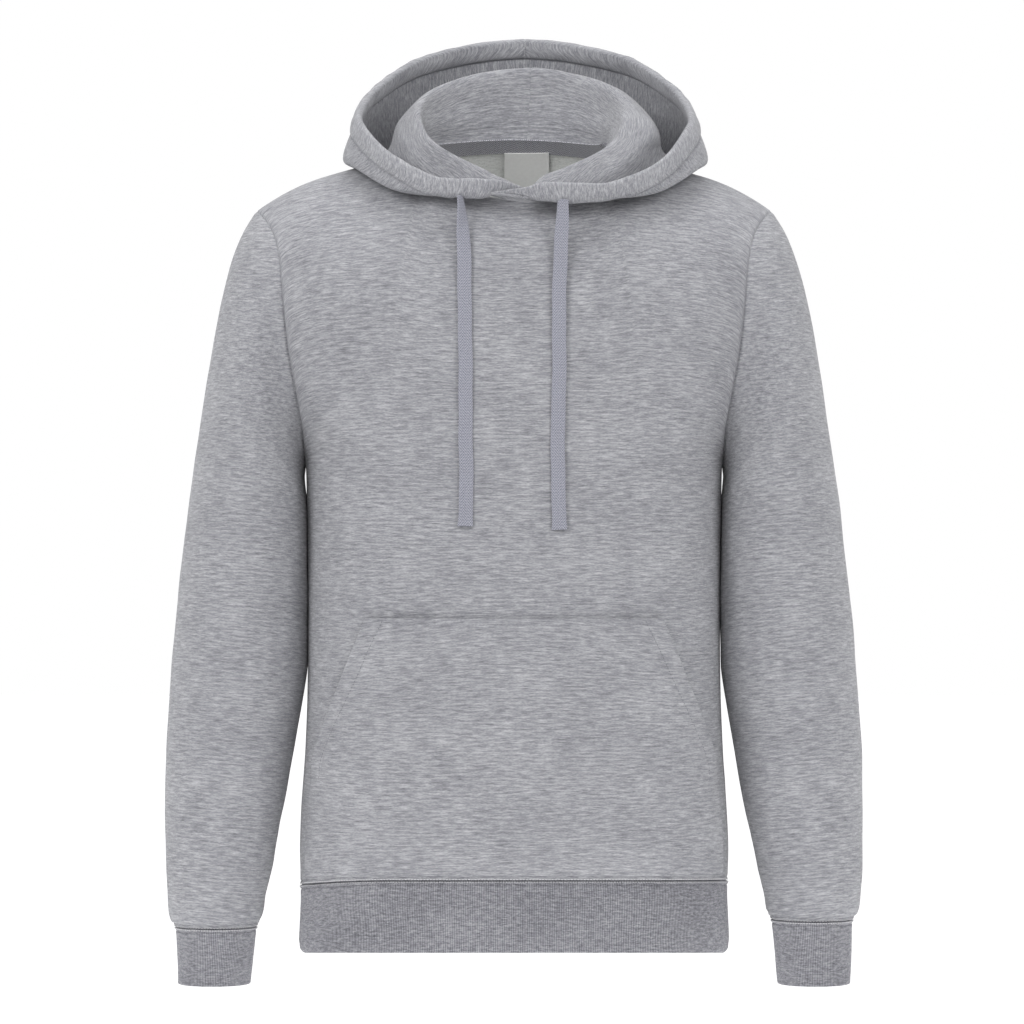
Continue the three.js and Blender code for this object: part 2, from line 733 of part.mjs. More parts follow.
// Middle surface of one hood half, rows from the neck seam to the rim, the last two in the tunnel
function hoodHalf(hand) {
  const [firstSection] = hoodFrontEnds[hand < 0 ? 'left' : 'right'];
  const firstAngle = firstSection[0];
  const columns = [];
  const swells = [];
  for (let s = 0; s < hoodStations; s += 1) {
    const angle = firstAngle + ((180 - firstAngle) * s) / (hoodStations - 1);
    const curve = hoodProfile(angle, hand);
    curve.arcLengthDivisions = 400;
    const length = curve.getLength();
    const tunnel = Math.min(tunnelHeight, length * greatestTunnelShare);
    const lastGuide = curve.points.length - 1;
    const earliest = (downGuide + 0.2) / lastGuide;
    const tunnelStart = Math.max(earliest, curve.getUtoTmapping(1 - tunnel / length));
    const lastPlace = hoodRowPlaces[hoodRowPlaces.length - 1];
    const points = hoodRowPlaces.map((place) => {
      if (place <= downGuide) return curve.getPoint(place / lastGuide);
      const share = (place - downGuide) / (lastPlace - downGuide);
      const down = downGuide / lastGuide;
      return curve.getPoint(down + share * (tunnelStart - down));
    });
    points.push(curve.getPoint((tunnelStart + 1) / 2), curve.getPoint(1));
    swells.push((tunnelSwell * tunnel) / tunnelHeight);
    columns.push(points);
  }
  const grid = columns[0].map((_, r) => columns.map((points) => points[r]));
  const normals = gridNormals(grid, false, true);
  const probe = normals[1][hoodStations - 2];
  const sign = probe.y > 0 ? -1 : 1;
  normals.forEach((row) => {
    row.forEach((normal) => normal.multiplyScalar(sign));
    const centreSeam = row[hoodStations - 1];
    centreSeam.x = 0;
    centreSeam.normalize();
  });
  return { grid, normals, swells };
}

function addHoodHalf(name, hand) {
  const { grid, normals, swells } = hoodHalf(hand);
  const lined = (rows) => rows.slice(0, hoodRows - 2).map((row) => row.slice(liningStart[name]));
  const liningGrid = lined(grid);
  const liningNormals = lined(normals);
  const half = hoodLayerGap / 2;
  const liningNear = offsetGrid(liningGrid, liningNormals, half);
  const liningFar = offsetGrid(liningGrid, liningNormals, half + hoodLayerWall);
  addPiece(
    `hood_lining_${name}`,
    solidBetween(trimmed(liningFar, false), trimmed(liningNear, false), false),
    'fleece',
  );
  const swellAt = (r, c) => {
    if (r === hoodRows - 2) return swells[c];
    return r === hoodRows - 1 ? swells[c] * rimSwellShare : 0;
  };
  // The outer layer runs up the outside, over the rim and down the inside to the tunnel's stitching
  const layer = (depth) => {
    const side = (r, sign) =>
      grid[r].map((point, c) =>
        point.clone().addScaledVector(normals[r][c], sign * (half + depth + swellAt(r, c))));
    const rows = grid.map((_, r) => side(r, -1));
    rows.push(grid[hoodRows - 1].map((point, c) => {
      const rise = point.clone().sub(grid[hoodRows - 2][c]).setLength(half + depth + swells[c] / 2);
      return point.clone().add(rise);
    }));
    rows.push(side(hoodRows - 1, 1), side(hoodRows - 2, 1));
    const flapEnd = side(hoodRows - 3, 1);
    rows.push(flapEnd.map((point, c) => moveTowards(point, grid[hoodRows - 2][c], 3 * seamGap)));
    return trimmed(rows, false);
  };
  addPiece(`hood_outer_${name}`, solidBetween(layer(hoodLayerWall), layer(0), false), 'fleece');
}

// Place straight in front of or behind (x, z) on the flat facets of a grid
function facetDepth(grid, x, z) {
  const inside = (a, b, c) => {
    const area = (b.x - a.x) * (c.z - a.z) - (c.x - a.x) * (b.z - a.z);
    const u = ((b.x - x) * (c.z - z) - (c.x - x) * (b.z - z)) / area;
    const v = ((c.x - x) * (a.z - z) - (a.x - x) * (c.z - z)) / area;
    const w = 1 - u - v;
    const slack = -1e-6;
    return u >= slack && v >= slack && w >= slack ? u * a.y + v * b.y + w * c.y : null;
  };
  for (let r = 0; r < grid.length - 1; r += 1) {
    for (let c = 0; c < grid[0].length - 1; c += 1) {
      const corners = [grid[r][c], grid[r][c + 1], grid[r + 1][c + 1], grid[r + 1][c]];
      const [a, b, d, e] = corners;
      const found = inside(a, b, d) ?? inside(a, d, e);
      if (found !== null) return found;
    }
  }
  throw new Error(`no facet at ${x}, ${z}`);
}

// Flat patch on the inner face of the back panel
function patchInsideBack({ halfWidth, topZ, height, thickness, columns, rows }) {
  const inside = offsetGrid(back.grid, back.normals, -fleeceWall);
  const layer = (depth) => {
    const grid = [];
    for (let r = 0; r <= rows; r += 1) {
      const row = [];
      for (let c = 0; c <= columns; c += 1) {
        const x = halfWidth * ((2 * c) / columns - 1);
        const z = topZ(x) - (height * r) / rows;
        const backed = Math.min(z, necklineHeight(x, 1) - seamMargin);
        const lower = facetDepth(inside, x, backed - seamMargin);
        const depth = facetDepth(inside, x, backed);
        const lean = (depth - lower) / seamMargin;
        row.push(new THREE.Vector3(x, depth + lean * (z - backed), z));
      }
      grid.push(row);
    }
    const normals = gridNormals(grid, false);
    normals.flat().forEach((normal) => {
      if (normal.y < 0) normal.negate();
    });
    return offsetGrid(grid, normals, -depth);
  };
  return solidBetween(layer(patchInset), layer(patchInset + thickness), false);
}

// Flat cord laid along its route on the chest, cut straight across
function cordGeometry(route) {
  const centre = new THREE.CatmullRomCurve3(
    route.map(({ x, out, z }) => new THREE.Vector3(x, facetDepth(front.grid, x, z) - out, z)),
  );
  const steps = cordSteps;
  const profile = [];
  const sides = cordSides;
  for (let k = 0; k < sides; k += 1) {
    const turn = (2 * Math.PI * (k + 0.5)) / sides;
    const across = Math.sign(Math.cos(turn)) * Math.abs(Math.cos(turn)) ** cordFlatness.across;
    const through = Math.sign(Math.sin(turn)) * Math.abs(Math.sin(turn)) ** cordFlatness.through;
    profile.push({ across: (across * cordWidth) / 2, through: (through * cordThickness) / 2 });
  }
  const positions = [];
  for (let s = 0; s <= steps; s += 1) {
    const middle = centre.getPointAt(s / steps);
    const along = centre.getTangentAt(s / steps);
    const across = new THREE.Vector3(1, 0, 0).addScaledVector(along, -along.x).normalize();
    const through = across.clone().cross(along).normalize();
    for (const place of profile) {
      const point = middle.clone().addScaledVector(across, place.across);
      point.addScaledVector(through, place.through);
      positions.push(point.x, point.y, point.z);
    }
  }
  const index = [];
  for (let s = 0; s < steps; s += 1) {
    for (let k = 0; k < sides; k += 1) {
      const a = s * sides + k;
      const b = s * sides + ((k + 1) % sides);
      index.push(a, b, b + sides, a, b + sides, a + sides);
    }
  }
  const end = steps * sides;
  for (let k = 1; k < sides - 1; k += 1) {
    index.push(0, k + 1, k, end, end + k, end + k + 1);
  }
  const geometry = new THREE.BufferGeometry();
  geometry.setAttribute('position', new THREE.Float32BufferAttribute(positions, 3));
  geometry.setIndex(index);
  return facingOut(geometry);
}

const front = torsoPanel(-1);
const back = torsoPanel(1);
addPiece('waistband', ribbedBand(waistbandRings(front, back)), 'rib');
addPiece('kangaroo_pocket', pocketPanel(), 'fleece');

for (const [name, hand] of [['left', -1], ['right', 1]]) {
  const { rings, normals } = sleeve(armholeLoop(front, back, hand), hand);
  addPiece(`sleeve_${name}`, wall(rings, normals, fleeceWall, true, 2 * seamGap), 'fleece');
  addPiece(`cuff_${name}`, ribbedBand(cuffRings(rings[rings.length - 1], hand)), 'rib');
  addHoodHalf(name, hand);
  addPiece(`drawcord_${name}`, cordGeometry(cordRoutes[`drawcord_${name}`]), 'cord');
}

addPiece('front_panel', wall(front.grid, front.normals, fleeceWall, false), 'fleece');
addPiece('back_panel', wall(back.grid, back.normals, fleeceWall, false), 'fleece');

addPiece('neck_tape', patchInsideBack(tape), 'tape');
addPiece('neck_label', patchInsideBack(label), 'label');

export default hoodie;
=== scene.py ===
import math

import bpy
import numpy as np
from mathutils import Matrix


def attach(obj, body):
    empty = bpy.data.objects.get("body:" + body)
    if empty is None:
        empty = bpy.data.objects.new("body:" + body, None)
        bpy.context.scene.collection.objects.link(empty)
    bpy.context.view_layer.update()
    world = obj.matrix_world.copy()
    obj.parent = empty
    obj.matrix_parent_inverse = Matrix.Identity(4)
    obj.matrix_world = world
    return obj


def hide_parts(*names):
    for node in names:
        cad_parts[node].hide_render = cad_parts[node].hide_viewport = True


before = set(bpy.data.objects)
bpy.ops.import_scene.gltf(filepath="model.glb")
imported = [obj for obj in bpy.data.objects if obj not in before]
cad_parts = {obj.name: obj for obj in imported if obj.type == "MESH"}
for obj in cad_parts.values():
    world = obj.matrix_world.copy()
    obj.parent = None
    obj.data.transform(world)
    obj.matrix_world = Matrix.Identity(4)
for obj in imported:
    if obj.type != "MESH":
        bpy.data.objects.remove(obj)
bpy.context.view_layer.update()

# Pullover hoodie, filled out in worn shape. Tables and functions work in millimetres in the frame
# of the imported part, and meshes are made in metres. Every cloth piece is a thin closed shell on the
# form of its solid, with seams, stitches and creases added.

MM = 0.001

# Sizes of the garment
SEAM_GAP = 0.06
FLEECE_WALL = 2.0
RIB_WALL = 3.0
HOOD_LAYER = 1.5
NECK_HALF = 85.0
NECK_HEIGHT = 8.0
FRONT_DROP = 50.0
BACK_RISE = 10.0
NECK_COLUMN = 45.0
SHOULDER_SLOPE = 0.29
TIP_ROUNDING = 0.0035
TIP_ROUNDING_START = 170.0
SHOULDER_REACH = 150.0
TIP_HALF = 232.0
SECTION_POWER = 2.4
SHOULDER_POWER = 0.6
NECKLINE_POWER = 0.7
UNDERARM = -280.0
HEM = -646.0
TIP_EDGE = -50.0
SLEEVE_CLEARANCE = 0.3
CUFF_BOTTOM = -741.0
POCKET_TOP = -412.0
POCKET_OPEN_END = -552.0
POCKET_STAND_OFF = 8.5
POCKET_CENTRE = 4.0
POCKET_SIDE_CLEARANCE = 1.3
POCKET_CLEARANCE = 0.6
HOOD_CENTRE = 8.0
RIGHT_HOOD_SPREAD = 0.025
TUNNEL = 15.0
TUNNEL_SWELL = 2.8
HOOD_GAP = 0.3
LOWER_POUCH_SHARE = 0.5
RIB_PITCH = 1.6
RIB_RELIEF = 0.55


def table(names, rows):
    """Columns of a table, by name."""
    return dict(zip(names.split(), np.array(rows, float).T))


TORSO = table("z half front back", [
    (-705, 190.0, 113, 107), (-690, 190.5, 114, 108), (-660, 190.0, 114, 108), (-646, 191.5, 116, 110),
    (-610, 192.5, 120, 113), (-540, 188.0, 123, 113), (-470, 185.5, 124, 110), (-400, 185.5, 125, 107),
    (-330, 186.5, 125, 108), (-280, 187.0, 124, 112), (-265, 189.4, 123, 113), (-236, 201.0, 122, 116),
    (-200, 217.0, 119, 119), (-150, 233.5, 114, 121), (-100, 262.0, 106, 121), (-70, 288.0, 99, 119),
    (-40, 300.0, 93, 117), (30, 300.0, 88, 114),
])
ARMHOLE = table("place x z", [
    (0, 187.0, -280), (1, 187.6, -266), (2, 189.2, -243), (3, 194.2, -211), (4, 201.0, -172),
    (5, 205.6, -130), (6, 208.8, -97), (7, 214.5, -74), (8, 223.5, -58.5), (9, 232.0, -50),
])
SLEEVE = table("outX outZ inX inZ depth y round", [
    (245.0, -69, 187.8, -283, 76, 0, 0.3), (255.0, -95, 188.2, -286, 80, 0, 0.6),
    (263.5, -128, 188.2, -290, 83, 0, 0.85), (271.5, -170, 187.5, -297, 84, 0, 1),
    (280.0, -223, 186.0, -310, 84, 0, 1), (288.0, -279, 184.5, -332, 81, 0, 1),
    (295.0, -335, 183.5, -366, 76, -1, 1), (301.5, -392, 184.0, -411, 71, -3, 1),
    (307.0, -450, 185.8, -460, 66, -5, 1), (311.0, -508, 194.5, -513, 61, -8, 1),
    (313.0, -566, 204.5, -569, 57, -11, 1), (312.5, -620, 215.0, -622, 52, -14, 1),
    (310.5, -662, 223.0, -664, 47, -17, 1), (308.5, -683, 227.0, -684, 43, -18, 1),
    (303.0, -691, 231.0, -691, 37, -19, 1),
])
CUFF = table("outX inX z depth y", [
    (302.0, 232.0, -700, 36.0, -19), (301.5, 234.5, -720, 34.5, -20), (300.5, 236.5, CUFF_BOTTOM, 33.0, -21),
])
POCKET = table("z half lift", [
    (-645.2, 183, 0), (-625, 183.5, 0.5), (-590, 181.5, 0.85), (-552, 177, 1), (-528, 171.5, 1),
    (-497, 161, 0.96), (-465, 149, 0.8), (-438, 139.5, 0.5), (-421, 133, 0.15), (POCKET_TOP, 130, 0),
])
HOOD_COLUMNS = "angle off drop rollR rollZ downR downZ lowR lowZ upR upZ rimR rimZ"
HOOD_SECTIONS = [
    (40, 0, 0, 98, -3, 104, -21, 109, -38, 118, -36, 120, -26),
    (60, 0, 0, 97, 14, 108, 0, 115, -27, 137, -29, 137, -3),
    (80, 0, 0, 95, 34, 109, 20, 121, 1, 157, -7, 147, 26),
    (100, 0, 0, 94, 51, 110, 35, 125, 0, 160, -3, 149, 46),
    (120, 0, 0, 93, 66, 112, 42, 139, -26, 168, 0, 151, 71),
    (145, 0, 0, 87, 80, 114, 30, 147, -84, 174, -5, 153, 101),
    (180, 0, 0, 81, 87, 110, 12, 149, -124, 177, -12, 152, 117.5),
    (215, 0, 0, 87, 80, 114, 30, 147, -84, 174, -5, 153, 101),
]
HOOD_ENDS = {
    "left": [
        (0, 3, 4, 90, -34, 92, -35.5, 94, -36, 96.5, -35, 97, -31),
        (10, 1, 1, 94, -24, 97, -27, 99, -33, 103, -33, 104, -28),
        (20, 0, 0, 96, -18, 100, -27, 103, -38, 109, -38, 110, -29),
    ],
    "right": [
        (-14, 31, 7, 116, -42.5, 116.3, -41.4, 116.5, -40.3, 116.7, -39.2, 117, -38),
        (-6, 25, 7, 109, -43, 110, -43, 111.5, -42.5, 113, -40, 114, -35.5),
        (0, 20, 7, 104, -41, 105, -42, 107, -43, 109.5, -41, 110, -35),
        (10, 6, 3, 98, -25, 101, -31, 103, -41, 109, -41, 110, -33),
        (20, 0, 0, 97, -18, 100, -29, 104, -44, 111, -43, 112, -33),
    ],
}
RIGHT_DROP = table("angle drop", [(-14, 0), (20, 0), (40, 5), (60, 8), (80, 3), (110, 0), (180, 0)])
CORDS = {
    "left": table("x out z", [
        (-47.4, 24, -40), (-46.8, 19, -47.5), (-46.0, 14, -58), (-44.8, 7, -76), (-43.6, 2.8, -102),
        (-43.0, 2.1, -135), (-43.0, 2.1, -175), (-42.5, 2.1, -215), (-42.0, 2.1, -255), (-42.0, 2.1, -295),
        (-43.0, 2.1, -331),
    ]),
    "right": table("x out z", [
        (43.0, 28, -44), (42.5, 23, -52), (42.0, 16, -64), (41.0, 7, -84), (40.3, 2.8, -110),
        (39.8, 2.1, -140), (39.4, 2.1, -180), (39.0, 2.1, -220), (38.6, 2.1, -260),
        (38.6, 2.1, -298), (39.4, 2.1, -334),
    ]),
}


# Curves and grids

def hermite(keys, values, at):
    """Smooth curve through values at rising or falling keys, the same as the solids use."""
    keys = np.asarray(keys, float)
    values = np.asarray(values, float)
    at = np.asarray(at, float)
    if keys[-1] < keys[0]:
        keys, values = keys[::-1], values[::-1]
    last = len(keys) - 1
    before = np.maximum(np.arange(last + 1) - 1, 0)
    after = np.minimum(np.arange(last + 1) + 1, last)
    extra = (1,) * (values.ndim - 1)
    slopes = (values[after] - values[before]) / (keys[after] - keys[before]).reshape((-1,) + extra)
    i = np.clip(np.searchsorted(keys, at, side="left") - 1, 0, last - 1)
    span = (keys[i + 1] - keys[i]).reshape(at.shape + extra)
    t = np.clip((at - keys[i]) / (keys[i + 1] - keys[i]), 0, 1).reshape(at.shape + extra)
    return ((2 * t ** 3 - 3 * t ** 2 + 1) * values[i] + (t ** 3 - 2 * t ** 2 + t) * span * slopes[i]
            + (3 * t ** 2 - 2 * t ** 3) * values[i + 1] + (t ** 3 - t ** 2) * span * slopes[i + 1])


def unit(vectors):
    length = np.linalg.norm(vectors, axis=-1, keepdims=True)
    return vectors / np.maximum(length, 1e-9)


def grid_normals(grid, closed):
    """Normals of a grid of points, by its neighbours."""
    if closed:
        across = np.roll(grid, -1, 1) - np.roll(grid, 1, 1)
    else:
        across = np.gradient(grid, axis=1)
    along = np.gradient(grid, axis=0)
    return unit(np.cross(across, along))


def trimmed(grid, closed):
    """Free edges pulled back by half a seam gap."""
    half = SEAM_GAP / 2
    out = grid.copy()
    out[0] += half * unit(grid[1] - grid[0])
    out[-1] += half * unit(grid[-2] - grid[-1])
    if not closed:
        out[:, 0] += half * unit(grid[:, 1] - grid[:, 0])
        out[:, -1] += half * unit(grid[:, -2] - grid[:, -1])
    return out


def flat_map(grid, closed):
    """Places in the flat cloth, in metres: along each row from its middle, and up the rows."""
    wide = np.concatenate([grid, grid[:, :1]], 1) if closed else grid
    step = np.linalg.norm(np.diff(wide, axis=1), axis=2)
    u = np.concatenate([np.zeros((len(wide), 1)), np.cumsum(step, 1)], 1)
    u -= u[:, -1:] / 2
    rise = np.linalg.norm(np.diff(wide, axis=0), axis=2)
    v = np.concatenate([np.zeros((1, wide.shape[1])), np.cumsum(rise, 0)], 0)
    blend = 0.7
    v = blend * v + (1 - blend) * v.mean(1, keepdims=True)
    return np.stack([u, v], 2) * MM


def ripple(points, seed, wavelength, size):
    """Soft unevenness of cloth, as a seeded sum of waves."""
    draw = np.random.default_rng(seed)
    total = np.zeros(points.shape[:-1])
    waves = 7
    for _ in range(waves):
        direction = unit(draw.normal(size=3))
        length = wavelength * draw.uniform(0.7, 1.6)
        total += np.sin(points @ direction * (2 * math.pi / length) + draw.uniform(0, 2 * math.pi))
    return size * total / math.sqrt(waves)


def crease(points, side, route, depth, width):
    """Soft trough or ridge along a route of (x, z) places on the front (-1) or the back (1)."""
    route = np.array(route, float)
    flat = points[..., [0, 2]]
    nearest = np.full(points.shape[:-1], 1e9)
    taper = np.zeros(points.shape[:-1])
    lengths = np.linalg.norm(np.diff(route, axis=0), axis=1)
    total = lengths.sum()
    run = 0
    for start, end, length in zip(route[:-1], route[1:], lengths):
        share = np.clip(((flat - start) @ (end - start)) / length ** 2, 0, 1)
        away = np.linalg.norm(flat - (start + share[..., None] * (end - start)), axis=-1)
        place = (run + share * length) / total
        closer = away < nearest
        nearest = np.where(closer, away, nearest)
        taper = np.where(closer, np.sin(math.pi * np.clip(place, 0.04, 0.96)) ** 0.6, taper)
        run += length
    facing = np.clip(0.5 + side * points[..., 1] / 24, 0, 1)
    return depth * np.exp(-(nearest / width) ** 2) * taper * facing


# Meshes

SHARP_ANGLE = 50


def quads_between(rows, columns, closed, start=0):
    """Corners of the quads of a grid, and the grid place of each corner."""
    span = columns if closed else columns - 1
    r, c = np.meshgrid(np.arange(rows - 1), np.arange(span), indexing="ij")
    after = (c + 1) % columns
    low, high = r * columns, (r + 1) * columns
    quad = np.stack([low + c, low + after, high + after, high + c], -1)
    places = np.stack([np.stack([r, c], -1), np.stack([r, c + 1], -1),
                       np.stack([r + 1, c + 1], -1), np.stack([r + 1, c], -1)], -2)
    return quad.reshape(-1, 4) + start, places.reshape(-1, 4, 2)


def make_piece(name, points, faces, corner_uv, materials, face_material):
    """Blender object of a mesh given in millimetres, facing outwards."""
    points = np.asarray(points, float)
    a, b, c = points[faces[:, 0]], points[faces[:, 1]], points[faces[:, 2]]
    d = points[faces[:, 3]]
    volume = np.einsum("ij,ij->i", a, np.cross(b, c)).sum() + np.einsum("ij,ij->i", a, np.cross(c, d)).sum()
    if volume < 0:
        faces = faces[:, ::-1]
        corner_uv = corner_uv[:, ::-1]
    mesh = bpy.data.meshes.new(name)
    mesh.from_pydata((points * MM).tolist(), [], faces.tolist())
    layer = mesh.uv_layers.new(name="cloth")
    layer.data.foreach_set("uv", np.ascontiguousarray(corner_uv, np.float32).ravel())
    for material in materials:
        mesh.materials.append(material)
    mesh.polygons.foreach_set("material_index", np.ascontiguousarray(face_material, np.int32))
    mesh.shade_smooth()
    mesh.set_sharp_from_angle(angle=math.radians(SHARP_ANGLE))
    mesh.update()
    piece = bpy.data.objects.new(name, mesh)
    bpy.context.scene.collection.objects.link(piece)
    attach(piece, "root")
    return piece


def shell(name, outer, inner, closed, flat, materials):
    """Closed shell between an outer and an inner grid of points."""
    rows, columns = outer.shape[:2]
    points = np.concatenate([outer.reshape(-1, 3), inner.reshape(-1, 3)])
    front, places = quads_between(rows, columns, closed)
    behind = front[:, ::-1] + rows * columns
    uv = flat[places[..., 0], places[..., 1]]
    faces = [front, behind]
    uvs = [uv, uv[:, ::-1]]
    marks = [np.zeros(len(front), int), np.ones(len(front), int)]
    loop = np.arange(rows * columns).reshape(rows, columns)
    if closed:
        loop = np.concatenate([loop, loop[:, :1]], 1)
    edges = [(loop[0, ::-1], flat[0, ::-1]), (loop[-1], flat[-1])]
    if not closed:
        edges.append((loop[:, 0], flat[:, 0]))
        edges.append((loop[::-1, -1], flat[::-1, -1]))
    for line, line_uv in edges:
        strip = np.stack([line[:-1], line[1:], line[1:] + rows * columns, line[:-1] + rows * columns], 1)
        faces.append(strip)
        uvs.append(np.stack([line_uv[:-1], line_uv[1:], line_uv[1:], line_uv[:-1]], 1))
        marks.append(np.zeros(len(strip), int))
    return make_piece(name, points, np.concatenate(faces), np.concatenate(uvs), materials,
                      np.concatenate(marks))


def stitches(name, paths, normals, length, gap, width, material):
    """Rows of short thread stitches that bow a little out of the cloth along each path."""
    sides = 6
    stations = np.array([-1, -0.75, 0, 0.75, 1])
    swell = np.array([0.25, 0.85, 1, 0.85, 0.25])
    points, faces = [], []
    for path, normal in zip(paths, normals):
        step = np.linalg.norm(np.diff(path, axis=0), axis=1)
        run = np.concatenate([[0], np.cumsum(step)])
        count = max(1, int(run[-1] / (length + gap)))
        middles = (np.arange(count) + 0.5) * run[-1] / count
        for middle in middles:
            at = np.clip(middle + stations * length / 2, 0, run[-1])
            line = np.stack([np.interp(at, run, path[:, k]) for k in range(3)], 1)
            up = unit(np.stack([np.interp(at, run, normal[:, k]) for k in range(3)], 1))
            line += up * (width * (0.55 - 0.75 * stations[:, None] ** 4))
            along = unit(np.gradient(line, axis=0))
            side = unit(np.cross(along, up))
            start = len(points) * sides
            turn = 2 * math.pi * np.arange(sides) / sides
            for k in range(len(stations)):
                ring = line[k] + (width / 2) * swell[k] * (np.cos(turn)[:, None] * side[k]
                                                           + 0.7 * np.sin(turn)[:, None] * up[k])
                points.append(ring)
            quad, _ = quads_between(len(stations), sides, True, start)
            faces.append(quad)
            last = start + (len(stations) - 1) * sides
            for base, turned in ((start, True), (last, False)):
                cap = np.array([[base, base + 1, base + 2, base + 3], [base, base + 3, base + 4, base + 5]])
                faces.append(cap[:, ::-1] if turned else cap)
    points = np.concatenate(points)
    faces = np.concatenate(faces)
    flat = points[faces][..., [0, 2]] * MM
    return make_piece(name, points, faces, flat, [material], np.zeros(len(faces), int))


def inset_line(grid, normals, edge, distance, rows=slice(None)):
    """Line a set distance inside one edge of a grid, with its normals."""
    if edge in ("bottom", "top"):
        grid, normals = grid.swapaxes(0, 1), normals.swapaxes(0, 1)
    if edge in ("right", "top"):
        grid, normals = grid[:, ::-1], normals[:, ::-1]
    points, ups = [], []
    for line, up in zip(grid[rows], normals[rows]):
        run = np.concatenate([[0], np.cumsum(np.linalg.norm(np.diff(line, axis=0), axis=1))])
        points.append([np.interp(distance, run, line[:, k]) for k in range(3)])
        ups.append([np.interp(distance, run, up[:, k]) for k in range(3)])
    return np.array(points), unit(np.array(ups))


def ring_closed(line):
    return np.concatenate([line, line[:1]])


# Materials

def noise(tree, coordinates, scale, detail, rough, offset=(0, 0, 0)):
    place = tree.nodes.new("ShaderNodeMapping")
    place.inputs["Scale"].default_value = scale
    place.inputs["Location"].default_value = offset
    tree.links.new(coordinates, place.inputs["Vector"])
    made = tree.nodes.new("ShaderNodeTexNoise")
    made.inputs["Scale"].default_value = 1.0
    made.inputs["Detail"].default_value = detail
    made.inputs["Roughness"].default_value = rough
    tree.links.new(place.outputs["Vector"], made.inputs["Vector"])
    return made.outputs["Fac"]


def maths(tree, operation, first, second=0.0, third=0.0):
    made = tree.nodes.new("ShaderNodeMath")
    made.operation = operation
    for k, value in enumerate((first, second, third)):
        if isinstance(value, bpy.types.NodeSocket):
            tree.links.new(value, made.inputs[k])
        else:
            made.inputs[k].default_value = value
    return made.outputs["Value"]


def ramp(tree, factor, stops):
    made = tree.nodes.new("ShaderNodeValToRGB")
    elements = made.color_ramp.elements
    while len(elements) < len(stops):
        elements.new(0.5)
    for element, (place, colour) in zip(elements, stops):
        element.position = place
        element.color = (*colour, 1)
    tree.links.new(factor, made.inputs["Fac"])
    return made.outputs["Color"]


SHEEN_ROUGHNESS = 0.5
CLOTH_SPECULAR = 0.2


def cloth_base(name, roughness, sheen):
    """New cloth material, with its node tree, its shader and the places in the flat cloth."""
    material = bpy.data.materials.new(name)
    material.use_nodes = True
    tree = material.node_tree
    shader = tree.nodes["Principled BSDF"]
    shader.inputs["Roughness"].default_value = roughness
    shader.inputs["Sheen Weight"].default_value = sheen
    shader.inputs["Sheen Roughness"].default_value = SHEEN_ROUGHNESS
    shader.inputs["Specular IOR Level"].default_value = CLOTH_SPECULAR
    where = tree.nodes.new("ShaderNodeUVMap")
    where.uv_map = "cloth"
    return material, tree, shader, where.outputs["UV"]


def add_bump(tree, shader, height, distance, strength=1.0):
    bump = tree.nodes.new("ShaderNodeBump")
    bump.inputs["Distance"].default_value = distance
    bump.inputs["Strength"].default_value = strength
    tree.links.new(height, bump.inputs["Height"])
    tree.links.new(bump.outputs["Normal"], shader.inputs["Normal"])


def wales(tree, coordinates, width, height, slant):
    """Rows of small V shaped knit stitches."""
    split = tree.nodes.new("ShaderNodeSeparateXYZ")
    tree.links.new(coordinates, split.inputs["Vector"])
    across = maths(tree, "FRACT", maths(tree, "MULTIPLY", split.outputs["X"], 1 / width))
    fold = maths(tree, "ABSOLUTE", maths(tree, "SUBTRACT", across, 0.5))
    leaning = maths(tree, "MULTIPLY", fold, slant)
    shifted = maths(tree, "MULTIPLY_ADD", split.outputs["Y"], 1 / height, leaning)
    along = maths(tree, "SINE", maths(tree, "MULTIPLY", shifted, 2 * math.pi))
    leg = maths(tree, "SINE", maths(tree, "MULTIPLY", fold, 2 * math.pi))
    return maths(tree, "MULTIPLY_ADD", along, 0.35, leg)


def heather(name, dark, middle, light, knit=True, streak=1.0, fuzz=0.25, ribs=0.0):
    """Grey melange knit: short pale and dark fibres drawn out along the courses."""
    material, tree, shader, coordinates = cloth_base(name, 0.95, fuzz)
    streaks = noise(tree, coordinates, (56 * streak, 520, 1), 3, 0.68)
    dashes = noise(tree, coordinates, (140 * streak, 1050, 1), 2, 0.6, (3.1, 7.7, 0))
    flecks = noise(tree, coordinates, (420, 1500, 1), 1, 0.5, (9.3, 1.7, 0))
    cloud = noise(tree, coordinates, (14, 26, 1), 2, 0.5, (5.5, 2.2, 0))
    mixed = maths(tree, "MULTIPLY", streaks, 0.46)
    mixed = maths(tree, "MULTIPLY_ADD", dashes, 0.3, mixed)
    mixed = maths(tree, "MULTIPLY_ADD", flecks, 0.16, mixed)
    mixed = maths(tree, "MULTIPLY_ADD", cloud, 0.1, mixed)
    # Painted shade: with ribs, the colour is darker in the valleys between the ribs, at the rib pitch.
    if ribs:
        split = tree.nodes.new("ShaderNodeSeparateXYZ")
        tree.links.new(coordinates, split.inputs["Vector"])
        turn_by = maths(tree, "MULTIPLY", split.outputs["X"], 2 * math.pi / (RIB_PITCH * MM))
        mixed = maths(tree, "MULTIPLY_ADD", maths(tree, "COSINE", turn_by), -ribs, mixed)
    colour = ramp(tree, mixed, [(0.38, dark), (0.5, middle), (0.64, light)])
    tree.links.new(colour, shader.inputs["Base Color"])
    if knit:
        height = maths(tree, "MULTIPLY_ADD", dashes, 0.8, wales(tree, coordinates, 0.0012, 0.0009, 1.2))
        add_bump(tree, shader, height, 0.00016, 0.6)
    else:
        add_bump(tree, shader, maths(tree, "MULTIPLY_ADD", dashes, 1.0, flecks), 0.0007, 0.6)
    return material


